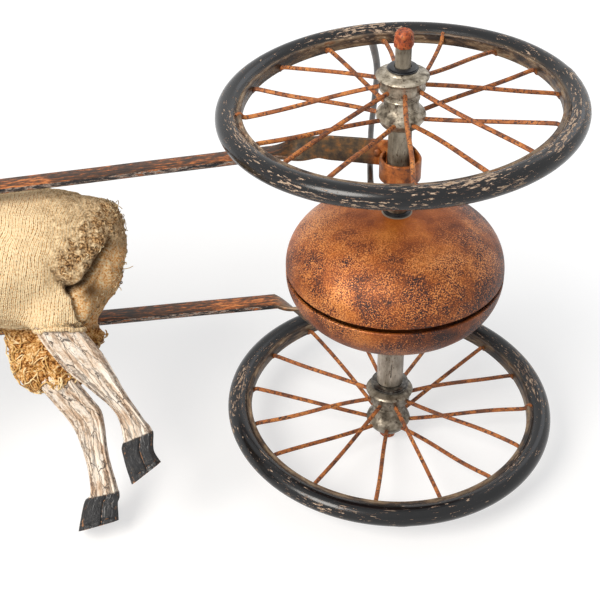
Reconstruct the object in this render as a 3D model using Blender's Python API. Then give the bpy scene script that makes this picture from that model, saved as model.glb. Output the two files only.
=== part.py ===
"""Goat cart pull toy, lying on its right side as it was photographed.

Metres, +Z up. The axle stands upright, so +Z is the toy's left, -X is its front
and +Y is its top. The origin is the middle of the flat end of the right axle nut,
which is what the toy rests on.
"""
import math
import random

import bmesh
import bpy
from mathutils import Matrix, Vector

# Fits
GAP = 0.0003
TURNING_GAP = 0.0004

# Washers, sleeves and nuts, and broken edges
TUBE_STEPS = 20
EDGE_BEVEL = 0.0004
BAR_CORNER = 0.0012

# Axle, nuts and washers
AXLE_RADIUS = 0.0054
AXLE_END_RADIUS = 0.0038
NUT_RADIUS = 0.0067
LEFT_NUT_HEIGHT = 0.0112
RIGHT_NUT_HEIGHT = 0.0083
NUT_BORE_SHARE = 0.6
NUT_BORE_TIP = 0.0008
END_PLAY = 0.0137
HUB_WASHER_RADIUS = 0.0106
HUB_WASHER_THICKNESS = 0.0020
CUP_WASHER_RADIUS = 0.0146
CUP_WASHER_THICKNESS = 0.0030
CUP_WASHER_BEVEL = 0.0010

# Wheels
WHEEL_RADIUS = 0.125
RIM_BEAD_RADIUS = 0.0076
RIM_NECK_HALF_HEIGHT = 0.0036
RIM_LEDGE_RADIUS = 0.0022
RIM_LEDGE_HALF_HEIGHT = 0.0042
RIM_LEDGE_INSET = 0.0084
LEFT_RIM_LEAN = (math.radians(-1.16), math.radians(-2.39))
RIGHT_RIM_LEAN = (math.radians(2.67), math.radians(0.76))
LEFT_RIM_DISH = 0.0073
RIGHT_RIM_DISH = 0.0
RIM_STEPS = 44

# Radius and level down the outside of a hub: collar, lip, band, waist and bulge
HUB_PROFILE = ((0.0108, 0.0206), (0.0120, 0.0176), (0.0164, 0.0172), (0.0180, 0.0156),
               (0.0168, 0.0140), (0.0158, 0.0122), (0.0152, 0.0061), (0.0117, 0.0046),
               (0.0117, 0.0), (0.0117, -0.0060), (0.0138, -0.0085), (0.0170, -0.0125),
               (0.0164, -0.0160), (0.0142, -0.0185), (0.0124, -0.0206))
HUB_STEPS = 20
UPPER_BAND_LEVEL = 0.0085
LOWER_BAND_LEVEL = -0.0140

SPOKES = 16
SPOKE_ROWS = 5
SPOKE_SIDES = 6
SPOKE_RADIUS = 0.00165
SPOKE_BEND = 0.0011
LEFT_SPOKE_START = math.radians(15.5)
RIGHT_SPOKE_START = math.radians(5.0)
# How far each spoke's rim end has drifted from its even place, in degrees, as photographed.
LEFT_SPOKE_DRIFT = (-0.3, -0.9, -1.0, -0.4, 0.3, 0.8, -1.5, -0.5, -2.5, -7.3, -10.6, -3.0, 1.4, 0.2, 0.2,
                    1.1)
RIGHT_SPOKE_DRIFT = (3.6, 2.5, 1.0, -0.5, -2.0, -3.5, -2.5, -1.8, -2.7, -5.2, -4.8, -1.3, 2.3, 4.1, 4.3,
                     4.4)

# Bell: two gongs that face each other on the axle
GONG_RADIUS = 0.079
GONG_HEIGHT = 0.0475
GONG_ROUNDNESS = 2.3
GONG_WALL = 0.0025
GONG_SPLIT = 0.0042
GONG_SEAT_RADIUS = 0.0125
GONG_STEPS = 36
BELL_WASHER_RADIUS = 0.0100
BELL_WASHER_THICKNESS = 0.0020
SPACER_RADIUS = 0.0090
LUG_LENGTH = 0.0175
LUG_WIDTH = 0.0080
LUG_HEIGHT = 0.0090
CLAPPER_COLLAR_RADIUS = 0.0130
CLAPPER_COLLAR_HALF = 0.0050
CLAPPER_REACH = 0.0600
CLAPPER_BALL_RADIUS = 0.0070
CLAPPER_ARM_RADIUS = 0.0024

# Sleeves round the axle, between the bell and the hubs
LEFT_SLEEVE_RADIUS = 0.0081
RIGHT_SLEEVE_RADIUS = 0.0100
LEFT_SLEEVE_LENGTH = 0.0665
RIGHT_SLEEVE_LENGTH = 0.0580

# Frame: two flat steel shafts, each twisted into a strap round its sleeve
SHAFT_WIDTH = 0.0152
SHAFT_THICKNESS = 0.0042
SHAFT_HEIGHT_OVER_AXLE = 0.0455
SHAFT_FRONT = -0.4700
FRAME_MIDDLE_OFFSET = 0.0127
HALF_SPREAD_AT_AXLE = 0.0673
HALF_SPREAD_TAPER = 0.0260
TWIST_START = -0.0800
TWIST_END = -0.0500
TWIST_STEPS = 6
TWIST_DROP = 0.0155
STRAP_WIDTH = 0.0206
STRAP_SHOULDER = 0.0030
STRAP_THICKNESS = 0.0022
STRAP_JOGGLE = 0.0080
STRAP_RING_RADIUS = 0.0145
STRAP_RING_TURN = math.radians(300)
STRAP_RING_STEPS = 18
STAY_RADIUS = 0.0020
STAY_FOOT_RADIUS = 0.0022
STAY_TOP_RADIUS = 0.0034
STAY_ROUTE = ((-0.0204, -0.0030), (-0.0145, 0.0236), (-0.0031, 0.0696),
              (0.0082, 0.1081), (0.0242, 0.1658), (0.0310, 0.2120))

YOKE_WIDTH = 0.0150
YOKE_THICKNESS = 0.0040
YOKE_TAB = 0.0260
YOKE_BEND_RADIUS = 0.0090
EYE_BOLT_RADIUS = 0.0030
EYE_BOLT_DEPTH = 0.0300
EYE_RADIUS = 0.0085
EYE_WIRE_RADIUS = 0.0025
EYE_COLLAR_RADIUS = 0.0065
EYE_COLLAR_LENGTH = 0.0030

# Goat, in its own upright frame: x along the toy, h up from its roll axis, s to its left.
# Its tables fit shafts of a half spread of GOAT_FIT_SPREAD, and h and s follow the real one
GOAT_FIT_SPREAD = 0.0673
GOAT_ROLL = math.radians(50)
BODY_STEPS = 18
BODY_RINGS = ((-0.1885, 0.010, 0.010, 0.012), (-0.1935, 0.008, 0.024, 0.025),
              (-0.2060, 0.003, 0.037, 0.036), (-0.2260, 0.000, 0.044, 0.044),
              (-0.2600, -0.002, 0.046, 0.047), (-0.3000, -0.004, 0.045, 0.046),
              (-0.3500, -0.004, 0.044, 0.046), (-0.3900, 0.000, 0.044, 0.047),
              (-0.4200, 0.004, 0.041, 0.043), (-0.4400, 0.006, 0.032, 0.034),
              (-0.4510, 0.006, 0.015, 0.016))
NECK_RINGS = ((-0.4000, 0.018, 0.034, 0.034), (-0.4180, 0.045, 0.029, 0.028),
              (-0.4310, 0.070, 0.024, 0.024), (-0.4480, 0.108, 0.019, 0.019))
NECK_LEAN = math.radians(28)
HIND_LEG_OFFSET = 0.0190
FORELEG_OFFSET = 0.0160
HAUNCH_STEPS = 12
LEFT_HAUNCH = ((-0.2360, -0.004, 0.033, 0.022), (-0.2390, -0.030, 0.027, 0.017),
               (-0.2440, -0.054, 0.0185, 0.0115))
RIGHT_HAUNCH = ((-0.2400, -0.004, 0.036, 0.022), (-0.2440, -0.034, 0.034, 0.018),
                (-0.2460, -0.050, 0.031, 0.0112), (-0.2470, -0.070, 0.026, 0.012),
                (-0.2480, -0.0920, 0.0170, 0.0105))
LEFT_SHOULDER = ((-0.4080, -0.004, 0.028, 0.021), (-0.4100, -0.030, 0.022, 0.016),
                 (-0.4110, -0.045, 0.019, 0.0110), (-0.4120, -0.054, 0.016, 0.0110))
RIGHT_SHOULDER = ((-0.4080, -0.004, 0.028, 0.021), (-0.4090, -0.030, 0.024, 0.016),
                  (-0.4095, -0.045, 0.021, 0.0110), (-0.4100, -0.066, 0.016, 0.0110))

# Each row of a leg: front edge x and h, back edge x and h, half of its thickness
LEFT_HIND_LEG = ((-0.2595, -0.0545, -0.2290, -0.0545, 0.0090),
                 (-0.2440, -0.0820, -0.2140, -0.0780, 0.0085),
                 (-0.2260, -0.1010, -0.2030, -0.1040, 0.0080),
                 (-0.2110, -0.1190, -0.1920, -0.1250, 0.0075),
                 (-0.2075, -0.1370, -0.1870, -0.1340, 0.0080),
                 (-0.2090, -0.1470, -0.1880, -0.1480, 0.0085),
                 (-0.2050, -0.1695, -0.1840, -0.1570, 0.0095))
RIGHT_HIND_LEG = ((-0.2620, -0.0925, -0.2350, -0.0925, 0.0090),
                  (-0.2530, -0.1080, -0.2260, -0.1070, 0.0085),
                  (-0.2420, -0.1260, -0.2200, -0.1190, 0.0080),
                  (-0.2360, -0.1500, -0.2190, -0.1490, 0.0075),
                  (-0.2350, -0.1740, -0.2150, -0.1760, 0.0080),
                  (-0.2400, -0.1810, -0.2170, -0.1840, 0.0085),
                  (-0.2460, -0.2000, -0.2180, -0.1960, 0.0100))
LEFT_FORELEG = ((-0.4260, -0.0545, -0.3990, -0.0545, 0.0090),
                (-0.4240, -0.0900, -0.4030, -0.0900, 0.0080),
                (-0.4270, -0.1180, -0.4080, -0.1200, 0.0082),
                (-0.4180, -0.1460, -0.4040, -0.1460, 0.0072),
                (-0.4120, -0.1680, -0.3960, -0.1660, 0.0080),
                (-0.4140, -0.1760, -0.3960, -0.1750, 0.0085),
                (-0.4160, -0.1930, -0.3920, -0.1890, 0.0095))
RIGHT_FORELEG = ((-0.4240, -0.0665, -0.3970, -0.0665, 0.0090),
                 (-0.4230, -0.1000, -0.4030, -0.1000, 0.0080),
                 (-0.4270, -0.1280, -0.4080, -0.1280, 0.0082),
                 (-0.4240, -0.1550, -0.4090, -0.1550, 0.0072),
                 (-0.4230, -0.1760, -0.4060, -0.1760, 0.0080),
                 (-0.4270, -0.1830, -0.4080, -0.1840, 0.0085),
                 (-0.4340, -0.2000, -0.4090, -0.2000, 0.0095))
HEAD_STEPS = 14
HEAD_RINGS = ((-0.4260, 0.1230, 0.012, 0.012), (-0.4330, 0.1210, 0.019, 0.021),
              (-0.4480, 0.1150, 0.0215, 0.0245), (-0.4660, 0.1060, 0.0190, 0.0215),
              (-0.4850, 0.0970, 0.0150, 0.0170), (-0.5020, 0.0890, 0.0130, 0.0145),
              (-0.5140, 0.0835, 0.0110, 0.0120), (-0.5190, 0.0810, 0.0065, 0.0075))
HEAD_PITCH = math.radians(27)
HORN_ROUTE = ((-0.4430, 0.1300), (-0.4400, 0.1500), (-0.4290, 0.1670), (-0.4120, 0.1760),
              (-0.3950, 0.1740))
HORN_BASE_RADIUS = 0.0068
HORN_TIP_RADIUS = 0.0016
HORN_SPREAD = 0.0100
HORN_FLARE = 0.0110
EAR_ROOT = (-0.4400, 0.1220, 0.0150)
EAR_LENGTH = 0.0300
EAR_HALF_WIDTH = 0.0085
EAR_HALF_THICKNESS = 0.0024
BEARD_ROUTE = ((-0.4900, 0.0880), (-0.4960, 0.0680), (-0.4920, 0.0500))
BEARD_RADIUS = 0.0075
BEARD_TIP_RADIUS = 0.0012

# Stack of pieces along the axle, worked out from the sizes above
right_washer_base = RIGHT_NUT_HEIGHT + GAP
right_hub_base = right_washer_base + HUB_WASHER_THICKNESS + GAP
hub_top = HUB_PROFILE[0][1]
hub_bottom = -HUB_PROFILE[-1][1]
right_hub_level = right_hub_base + hub_bottom
cup_washer_base = right_hub_level + hub_top + GAP
right_sleeve_base = cup_washer_base + CUP_WASHER_THICKNESS + GAP
right_gong_top = right_sleeve_base + RIGHT_SLEEVE_LENGTH + GAP
BELL_LEVEL = right_gong_top + GONG_HEIGHT
left_gong_top = BELL_LEVEL + GONG_HEIGHT
bell_washer_base = left_gong_top + GAP
left_sleeve_base = bell_washer_base + BELL_WASHER_THICKNESS + GAP
left_hub_base = left_sleeve_base + LEFT_SLEEVE_LENGTH + GAP
left_hub_level = left_hub_base + hub_bottom
left_washer_base = left_hub_level + hub_top + GAP
left_nut_base = left_washer_base + HUB_WASHER_THICKNESS + END_PLAY + GAP
bore_radius = AXLE_RADIUS + GAP
frame_middle = BELL_LEVEL + FRAME_MIDDLE_OFFSET
goat_girth = HALF_SPREAD_AT_AXLE / GOAT_FIT_SPREAD


def remove_all():
    """Start from an empty scene."""
    for old in list(bpy.data.objects):
        bpy.data.objects.remove(old, do_unlink=True)


def paint(name, colour, roughness, metallic=0.0):
    """A plain Principled material for one kind of finish."""
    finish = bpy.data.materials.new(name)
    finish.use_nodes = True
    shader = finish.node_tree.nodes["Principled BSDF"]
    shader.inputs["Base Color"].default_value = (*colour, 1.0)
    shader.inputs["Roughness"].default_value = roughness
    shader.inputs["Metallic"].default_value = metallic
    return finish


def guide(name, location, tilt=(0.0, 0.0, 0.0)):
    """An empty that carries the pieces of one moving body."""
    empty = bpy.data.objects.new(name, None)
    empty.location = location
    empty.rotation_euler = tilt
    bpy.context.collection.objects.link(empty)
    return empty


def piece(name, bm, finish, parent=None, location=(0.0, 0.0, 0.0), sharp=35.0):
    """Turn a closed bmesh into a named object with outward faces."""
    bmesh.ops.recalc_face_normals(bm, faces=bm.faces)
    mesh = bpy.data.meshes.new(name)
    bm.to_mesh(mesh)
    bm.free()
    mesh.materials.append(finish.copy())
    mesh.shade_smooth()
    mesh.set_sharp_from_angle(angle=math.radians(sharp))
    made = bpy.data.objects.new(name, mesh)
    made.parent = parent
    made.location = location
    bpy.context.collection.objects.link(made)
    return made


def combine(target, other, operation):
    """Join or cut a piece with another one, which is then only a guide."""
    change = target.modifiers.new(other.name, "BOOLEAN")
    change.operation = operation
    change.solver = "EXACT"
    change.object = other
    other.hide_render = True
    other.display_type = "WIRE"


def skin_between(bm, first, second):
    """Faces between two loops of the same number of vertices."""
    count = len(first)
    for i in range(count):
        j = (i + 1) % count
        bm.faces.new((first[i], first[j], second[j], second[i]))


def loft(sections):
    """A closed solid through a row of sections, each a list of points."""
    bm = bmesh.new()
    loops = [[bm.verts.new(point) for point in section] for section in sections]
    for first, second in zip(loops, loops[1:]):
        skin_between(bm, first, second)
    bm.faces.new(loops[0])
    bm.faces.new(loops[-1])
    return bm


def turned_ring(profile, steps):
    """A ring whose closed profile of (radius, height) points turns round Z."""
    bm = bmesh.new()
    loops = []
    for i in range(steps):
        turn = 2 * math.pi * i / steps
        loops.append([bm.verts.new((r * math.cos(turn), r * math.sin(turn), z))
                      for r, z in profile])
    for first, second in zip(loops, loops[1:] + loops[:1]):
        skin_between(bm, first, second)
    return bm


def turned_solid(profile, steps):
    """A solid whose profile of (radius, height) points closes on the Z axis."""
    bm = bmesh.new()
    low = bm.verts.new((0, 0, profile[0][1]))
    high = bm.verts.new((0, 0, profile[-1][1]))
    loops = []
    for r, z in profile:
        loops.append([bm.verts.new((r * math.cos(2 * math.pi * i / steps),
                                    r * math.sin(2 * math.pi * i / steps), z))
                      for i in range(steps)])
    for first, second in zip(loops, loops[1:]):
        skin_between(bm, first, second)
    for i in range(steps):
        j = (i + 1) % steps
        bm.faces.new((low, loops[0][j], loops[0][i]))
        bm.faces.new((high, loops[-1][i], loops[-1][j]))
    return bm


def tube_ring(inner, outer, base, height, bevel=EDGE_BEVEL):
    """A washer or sleeve with its outer edges broken."""
    top = base + height
    profile = ((inner, base), (outer - bevel, base), (outer, base + bevel),
               (outer, top - bevel), (outer - bevel, top), (inner, top))
    return turned_ring(profile, TUBE_STEPS)


def round_section(centre, across, along, half_across, half_along, steps):
    """An oval of points round a centre, in the plane of two directions."""
    points = []
    for i in range(steps):
        turn = 2 * math.pi * i / steps
        points.append(centre + across * (half_across * math.cos(turn))
                      + along * (half_along * math.sin(turn)))
    return points


def bar_section(centre, across, along, width, thickness, corner=BAR_CORNER):
    """A flat bar's section with its corners broken."""
    a = width / 2
    b = thickness / 2
    c = min(corner, b * 0.8)
    corners = ((a - c, b), (-a + c, b), (-a, b - c), (-a, -b + c),
               (-a + c, -b), (a - c, -b), (a, -b + c), (a, b - c))
    return [centre + across * u + along * v for u, v in corners]


def wire(points, radii, sides):
    """A round wire through points, with a radius at each of them."""
    sections = []
    side = None
    for i, point in enumerate(points):
        before = points[max(i - 1, 0)]
        after = points[min(i + 1, len(points) - 1)]
        ahead = (after - before).normalized()
        if side is None:
            side = ahead.orthogonal().normalized()
        side = (side - ahead * side.dot(ahead)).normalized()
        sections.append(round_section(point, side, ahead.cross(side), radii[i], radii[i], sides))
    return loft(sections)


def smooth_route(route, steps):
    """Points on a smooth curve through the route's own points."""
    points = []
    last = len(route) - 1
    for i in range(last):
        p0 = route[max(i - 1, 0)]
        p1 = route[i]
        p2 = route[i + 1]
        p3 = route[min(i + 2, last)]
        for step in range(steps):
            t = step / steps
            points.append(0.5 * (2 * p1 + (p2 - p0) * t
                                 + (2 * p0 - 5 * p1 + 4 * p2 - p3) * t * t
                                 + (3 * p1 - p0 - 3 * p2 + p3) * t * t * t))
    points.append(route[last])
    return points


def arc(centre_r, centre_z, radius_r, radius_z, start, end, steps):
    """Points of a profile along part of an ellipse."""
    points = []
    for i in range(steps + 1):
        turn = start + (end - start) * i / steps
        points.append((centre_r + radius_r * math.cos(turn), centre_z + radius_z * math.sin(turn)))
    return points


remove_all()
black_paint = paint("black_paint", (0.014, 0.015, 0.018), 0.45)
rusty_wire = paint("rusty_wire", (0.40, 0.13, 0.04), 0.75, 0.3)
pot_metal = paint("pot_metal", (0.22, 0.21, 0.18), 0.5, 0.7)
grey_steel = paint("grey_steel", (0.20, 0.19, 0.17), 0.45, 0.8)
rusty_steel = paint("rusty_steel", (0.25, 0.09, 0.03), 0.7, 0.4)
rusty_gong = paint("rusty_gong", (0.32, 0.12, 0.03), 0.7, 0.4)
dark_steel = paint("dark_steel", (0.03, 0.03, 0.032), 0.45, 0.6)
knitted_cloth = paint("knitted_cloth", (0.72, 0.54, 0.33), 0.95)
painted_wood = paint("painted_wood", (0.62, 0.52, 0.44), 0.6)

axle_line = guide("axle_line", (0, 0, 0))
bell_line = guide("bell_line", (0, 0, BELL_LEVEL))
frame_line = guide("frame_line", (0, 0, frame_middle))
goat_line = guide("goat_line", (0, SHAFT_HEIGHT_OVER_AXLE, frame_middle), (GOAT_ROLL, 0, 0))


# Axle, with a thinner threaded end for each nut
right_thread = RIGHT_NUT_HEIGHT * NUT_BORE_SHARE
left_thread = LEFT_NUT_HEIGHT * NUT_BORE_SHARE
right_thread_end = RIGHT_NUT_HEIGHT - right_thread + GAP
left_thread_end = left_nut_base + left_thread - GAP
axle_profile = ((AXLE_END_RADIUS, right_thread_end),
                (AXLE_END_RADIUS, RIGHT_NUT_HEIGHT + GAP),
                (AXLE_RADIUS, RIGHT_NUT_HEIGHT + GAP),
                (AXLE_RADIUS, left_nut_base - GAP),
                (AXLE_END_RADIUS, left_nut_base - GAP),
                (AXLE_END_RADIUS, left_thread_end))
piece("axle", turned_solid(axle_profile, TUBE_STEPS), grey_steel, axle_line)


def cap_nut(name, face_level, outward, height):
    """A worn cap nut, with its blind bore facing the wheel and a flat on its end."""
    thread_bore = AXLE_END_RADIUS + GAP
    end = face_level + outward * height
    bore_end = face_level + outward * height * NUT_BORE_SHARE
    dome = outward * height * 0.35
    flat = NUT_RADIUS * 0.62
    profile = ((NUT_BORE_TIP, bore_end), (thread_bore, bore_end), (thread_bore, face_level),
               (NUT_RADIUS * 0.94, face_level), (NUT_RADIUS, face_level + outward * height * 0.2),
               (NUT_RADIUS, end - dome), (NUT_RADIUS * 0.88, end - dome * 0.35), (flat, end))
    bm = bmesh.new()
    loops = []
    for r, z in profile:
        loops.append([bm.verts.new((r * math.cos(2 * math.pi * i / TUBE_STEPS),
                                    r * math.sin(2 * math.pi * i / TUBE_STEPS), z))
                      for i in range(TUBE_STEPS)])
    for first, second in zip(loops, loops[1:]):
        skin_between(bm, first, second)
    bm.faces.new(loops[0])
    bm.faces.new(loops[-1])
    return piece(name, bm, rusty_steel, axle_line)


cap_nut("right_nut", RIGHT_NUT_HEIGHT, -1, RIGHT_NUT_HEIGHT)
cap_nut("left_nut", left_nut_base, 1, LEFT_NUT_HEIGHT)
for side, base in (("right", right_washer_base), ("left", left_washer_base)):
    piece(side + "_hub_washer",
          tube_ring(bore_radius, HUB_WASHER_RADIUS, base, HUB_WASHER_THICKNESS),
          dark_steel, axle_line)
piece("cup_washer",
      tube_ring(bore_radius, CUP_WASHER_RADIUS, cup_washer_base, CUP_WASHER_THICKNESS,
                CUP_WASHER_BEVEL),
      dark_steel, axle_line)

# Sleeves that hold the bell and the hubs apart
piece("right_sleeve",
      tube_ring(bore_radius, RIGHT_SLEEVE_RADIUS, right_sleeve_base, RIGHT_SLEEVE_LENGTH),
      grey_steel, axle_line)
piece("left_sleeve",
      tube_ring(bore_radius, LEFT_SLEEVE_RADIUS, left_sleeve_base, LEFT_SLEEVE_LENGTH),
      grey_steel, axle_line)


def gong_curve(radius, height, level):
    """Radius of the bowl at a level between its mouth and its crown."""
    share = max(0.0, 1 - (level / height) ** GONG_ROUNDNESS)
    return radius * share ** (1 / GONG_ROUNDNESS)


def gong(name, outward, lug_turn):
    """A spun steel bowl clamped at its crown, with a striking lug inside its mouth."""
    mouth = GONG_SPLIT / 2
    outer = []
    inner = []
    levels = 8
    for i in range(levels):
        turn = math.pi / 2 * i / (levels - 1)
        level = mouth + (GONG_HEIGHT - mouth) * math.sin(turn)
        outer.append((max(gong_curve(GONG_RADIUS, GONG_HEIGHT, level), GONG_SEAT_RADIUS), level))
    inner_height = GONG_HEIGHT - GONG_WALL
    for i in range(levels - 1):
        turn = math.pi / 2 * i / (levels - 1)
        level = mouth + (inner_height - mouth) * math.sin(turn)
        inner.append((gong_curve(GONG_RADIUS - GONG_WALL, inner_height, level), level))
    profile = list(reversed(inner)) + outer
    profile += [(bore_radius, GONG_HEIGHT), (bore_radius, inner_height),
                (GONG_SEAT_RADIUS, inner_height)]
    bowl = piece(name, turned_ring([(r, outward * z) for r, z in profile], GONG_STEPS),
                 rusty_gong, bell_line)
    lug_base = mouth + GAP
    lug_end = lug_base + LUG_HEIGHT
    wall_reach = gong_curve(GONG_RADIUS - GONG_WALL / 2, GONG_HEIGHT, lug_end)
    centre = Vector((math.cos(lug_turn), math.sin(lug_turn), 0)) * (wall_reach - LUG_LENGTH / 2)
    centre.z = outward * (lug_base + lug_end) / 2
    bm = bmesh.new()
    bmesh.ops.create_cube(bm, size=1.0)
    bmesh.ops.scale(bm, vec=(LUG_LENGTH, LUG_WIDTH, LUG_HEIGHT), verts=bm.verts)
    bmesh.ops.rotate(bm, matrix=Matrix.Rotation(lug_turn, 3, "Z"), verts=bm.verts)
    bmesh.ops.translate(bm, vec=centre, verts=bm.verts)
    lug = piece(name + "_lug", bm, rusty_gong, bell_line)
    combine(bowl, lug, "UNION")
    return bowl


clapper_turn = math.radians(-90)
gong("left_gong", 1, clapper_turn + math.pi)
gong("right_gong", -1, clapper_turn + math.pi)
piece("bell_washer",
      tube_ring(bore_radius, BELL_WASHER_RADIUS, bell_washer_base, BELL_WASHER_THICKNESS),
      dark_steel, axle_line)
spacer_half = GONG_HEIGHT - GONG_WALL - GAP
piece("bell_spacer",
      tube_ring(bore_radius, SPACER_RADIUS, -spacer_half, 2 * spacer_half),
      grey_steel, bell_line)

# Clapper: a collar loose on the spacer, with an arm and a ball
clapper = piece("clapper",
                tube_ring(SPACER_RADIUS + TURNING_GAP, CLAPPER_COLLAR_RADIUS,
                          -CLAPPER_COLLAR_HALF, 2 * CLAPPER_COLLAR_HALF),
                rusty_steel, bell_line)
clapper_way = Vector((math.cos(clapper_turn), math.sin(clapper_turn), 0))
arm_start = (SPACER_RADIUS + TURNING_GAP + CLAPPER_COLLAR_RADIUS) / 2
clapper_arm = piece("clapper_arm",
                    wire([clapper_way * arm_start, clapper_way * CLAPPER_REACH],
                         [CLAPPER_ARM_RADIUS, CLAPPER_ARM_RADIUS], 10),
                    rusty_steel, bell_line)
bm = bmesh.new()
bmesh.ops.create_uvsphere(bm, u_segments=12, v_segments=8, radius=CLAPPER_BALL_RADIUS)
bmesh.ops.translate(bm, vec=clapper_way * CLAPPER_REACH, verts=bm.verts)
clapper_ball = piece("clapper_ball", bm, rusty_steel, bell_line)
combine(clapper, clapper_arm, "UNION")
combine(clapper, clapper_ball, "UNION")


# Wheels: a rolled rim, a cast spool hub and sixteen wires
bead_centre = WHEEL_RADIUS - RIM_BEAD_RADIUS
ledge_centre = WHEEL_RADIUS - RIM_BEAD_RADIUS - RIM_LEDGE_INSET
ledge_inner = ledge_centre - RIM_LEDGE_RADIUS


def rim_profile():
    """A round outer bead with a smaller bead, or ledge, rolled inside it."""
    neck_turn = math.asin(RIM_NECK_HALF_HEIGHT / RIM_BEAD_RADIUS)
    bead = arc(bead_centre, 0, RIM_BEAD_RADIUS, RIM_BEAD_RADIUS,
               math.pi + neck_turn, 3 * math.pi - neck_turn, 9)
    ledge = arc(ledge_centre, 0, RIM_LEDGE_RADIUS, RIM_LEDGE_HALF_HEIGHT,
                math.radians(60), math.radians(300), 6)
    return bead + ledge


def hub_radius(level):
    """Outer radius of a hub at a level."""
    radius = HUB_PROFILE[0][0]
    for (r0, z0), (r1, z1) in zip(HUB_PROFILE, HUB_PROFILE[1:]):
        if z0 >= level >= z1:
            radius = r0 + (r1 - r0) * (z0 - level) / (z0 - z1)
    return radius


def wheel(side, hub_level, dish, lean, start, drift, line, seed):
    """Rim, hub and spokes; the spokes go to the two bands of the hub in turn."""
    tilt = Matrix.Rotation(lean[0], 3, "X") @ Matrix.Rotation(lean[1], 3, "Y")
    rim_bm = turned_ring(rim_profile(), RIM_STEPS)
    bmesh.ops.rotate(rim_bm, matrix=tilt, verts=rim_bm.verts)
    piece(side + "_rim", rim_bm, black_paint, line, (0, 0, hub_level - dish))
    hub_outline = HUB_PROFILE + ((bore_radius, -hub_bottom), (bore_radius, hub_top))
    piece(side + "_hub", turned_ring(hub_outline, HUB_STEPS), pot_metal, line, (0, 0, hub_level))
    wobble = random.Random(seed)
    for i in range(SPOKES):
        turn = start + 2 * math.pi * i / SPOKES
        upper = (i % 2 == 1) == (side == "left")
        level = UPPER_BAND_LEVEL if upper else LOWER_BAND_LEVEL
        way = Vector((math.cos(turn), math.sin(turn), 0))
        across = Vector((-way.y, way.x, 0))
        first = way * (hub_radius(level) + SPOKE_RADIUS * 0.5 + GAP)
        first.z = level
        rim_turn = turn + math.radians(drift[i])
        rim_way = Vector((math.cos(rim_turn), math.sin(rim_turn), 0))
        last = tilt @ (rim_way * (ledge_inner - GAP - SPOKE_RADIUS * 0.25))
        last.z -= dish
        route = []
        for step in range(SPOKE_ROWS):
            t = step / (SPOKE_ROWS - 1)
            bend = math.sin(math.pi * t) * SPOKE_BEND
            point = first.lerp(last, t)
            point += across * (bend * wobble.uniform(-1, 1))
            point.z += bend * wobble.uniform(-1, 1)
            route.append(point)
        piece("%s_spoke_%02d" % (side, i + 1),
              wire(route, [SPOKE_RADIUS] * SPOKE_ROWS, SPOKE_SIDES), rusty_wire, line,
              (0, 0, hub_level), 60)


wheel("right", right_hub_level, RIGHT_RIM_DISH, RIGHT_RIM_LEAN, RIGHT_SPOKE_START,
      RIGHT_SPOKE_DRIFT, axle_line, 5)
wheel("left", left_hub_level, LEFT_RIM_DISH, LEFT_RIM_LEAN, LEFT_SPOKE_START,
      LEFT_SPOKE_DRIFT, axle_line, 11)


# Frame. A side is +1 for the left shaft and -1 for the right one
def shaft_centre(side, x):
    """Middle of a shaft at a place along the toy."""
    spread = HALF_SPREAD_AT_AXLE + HALF_SPREAD_TAPER * x
    return Vector((x, SHAFT_HEIGHT_OVER_AXLE, side * spread))


def strap_level(side):
    """Middle of the strap ring above or below the frame's middle."""
    return side * (HALF_SPREAD_AT_AXLE + STRAP_JOGGLE)


def shaft(name, side, sleeve_radius):
    """A flat bar that twists by a quarter turn and wraps the sleeve as a strap."""
    up = Vector((0, 1, 0))
    out = Vector((0, 0, side))
    sections = []
    for x in (SHAFT_FRONT, TWIST_START):
        sections.append(bar_section(shaft_centre(side, x), up, out, SHAFT_WIDTH, SHAFT_THICKNESS))
    start = Vector((TWIST_END, SHAFT_HEIGHT_OVER_AXLE - TWIST_DROP, strap_level(side)))
    for i in range(1, TWIST_STEPS + 1):
        t = i / TWIST_STEPS
        ease = 3 * t * t - 2 * t * t * t
        turn = math.pi / 2 * ease
        centre = shaft_centre(side, TWIST_START).lerp(start, t)
        across = up * math.cos(turn) + out * math.sin(turn)
        along = out * math.cos(turn) - up * math.sin(turn)
        width = SHAFT_WIDTH + (STRAP_WIDTH - STRAP_SHOULDER - SHAFT_WIDTH) * t
        thickness = SHAFT_THICKNESS + (STRAP_THICKNESS - SHAFT_THICKNESS) * t
        sections.append(bar_section(centre, across, along, width, thickness))
    ring_radius = STRAP_RING_RADIUS - STRAP_THICKNESS / 2
    sag = STRAP_RING_RADIUS - STRAP_THICKNESS - sleeve_radius - GAP
    ring_centre = Vector((0, -sag, strap_level(side)))
    flat_way = Vector((start.x - ring_centre.x, start.y - ring_centre.y))
    reach = flat_way.length
    tangent_turn = math.atan2(flat_way.y, flat_way.x) - math.acos(ring_radius / reach)
    for i in range(STRAP_RING_STEPS + 1):
        turn = tangent_turn - STRAP_RING_TURN * i / STRAP_RING_STEPS
        away = Vector((math.cos(turn), math.sin(turn), 0))
        sections.append(bar_section(ring_centre + away * ring_radius, out, -away,
                                    STRAP_WIDTH, STRAP_THICKNESS))
    return piece(name, loft(sections), rusty_steel, frame_line)


shaft("left_shaft", 1, LEFT_SLEEVE_RADIUS)
shaft("right_shaft", -1, RIGHT_SLEEVE_RADIUS)

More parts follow.
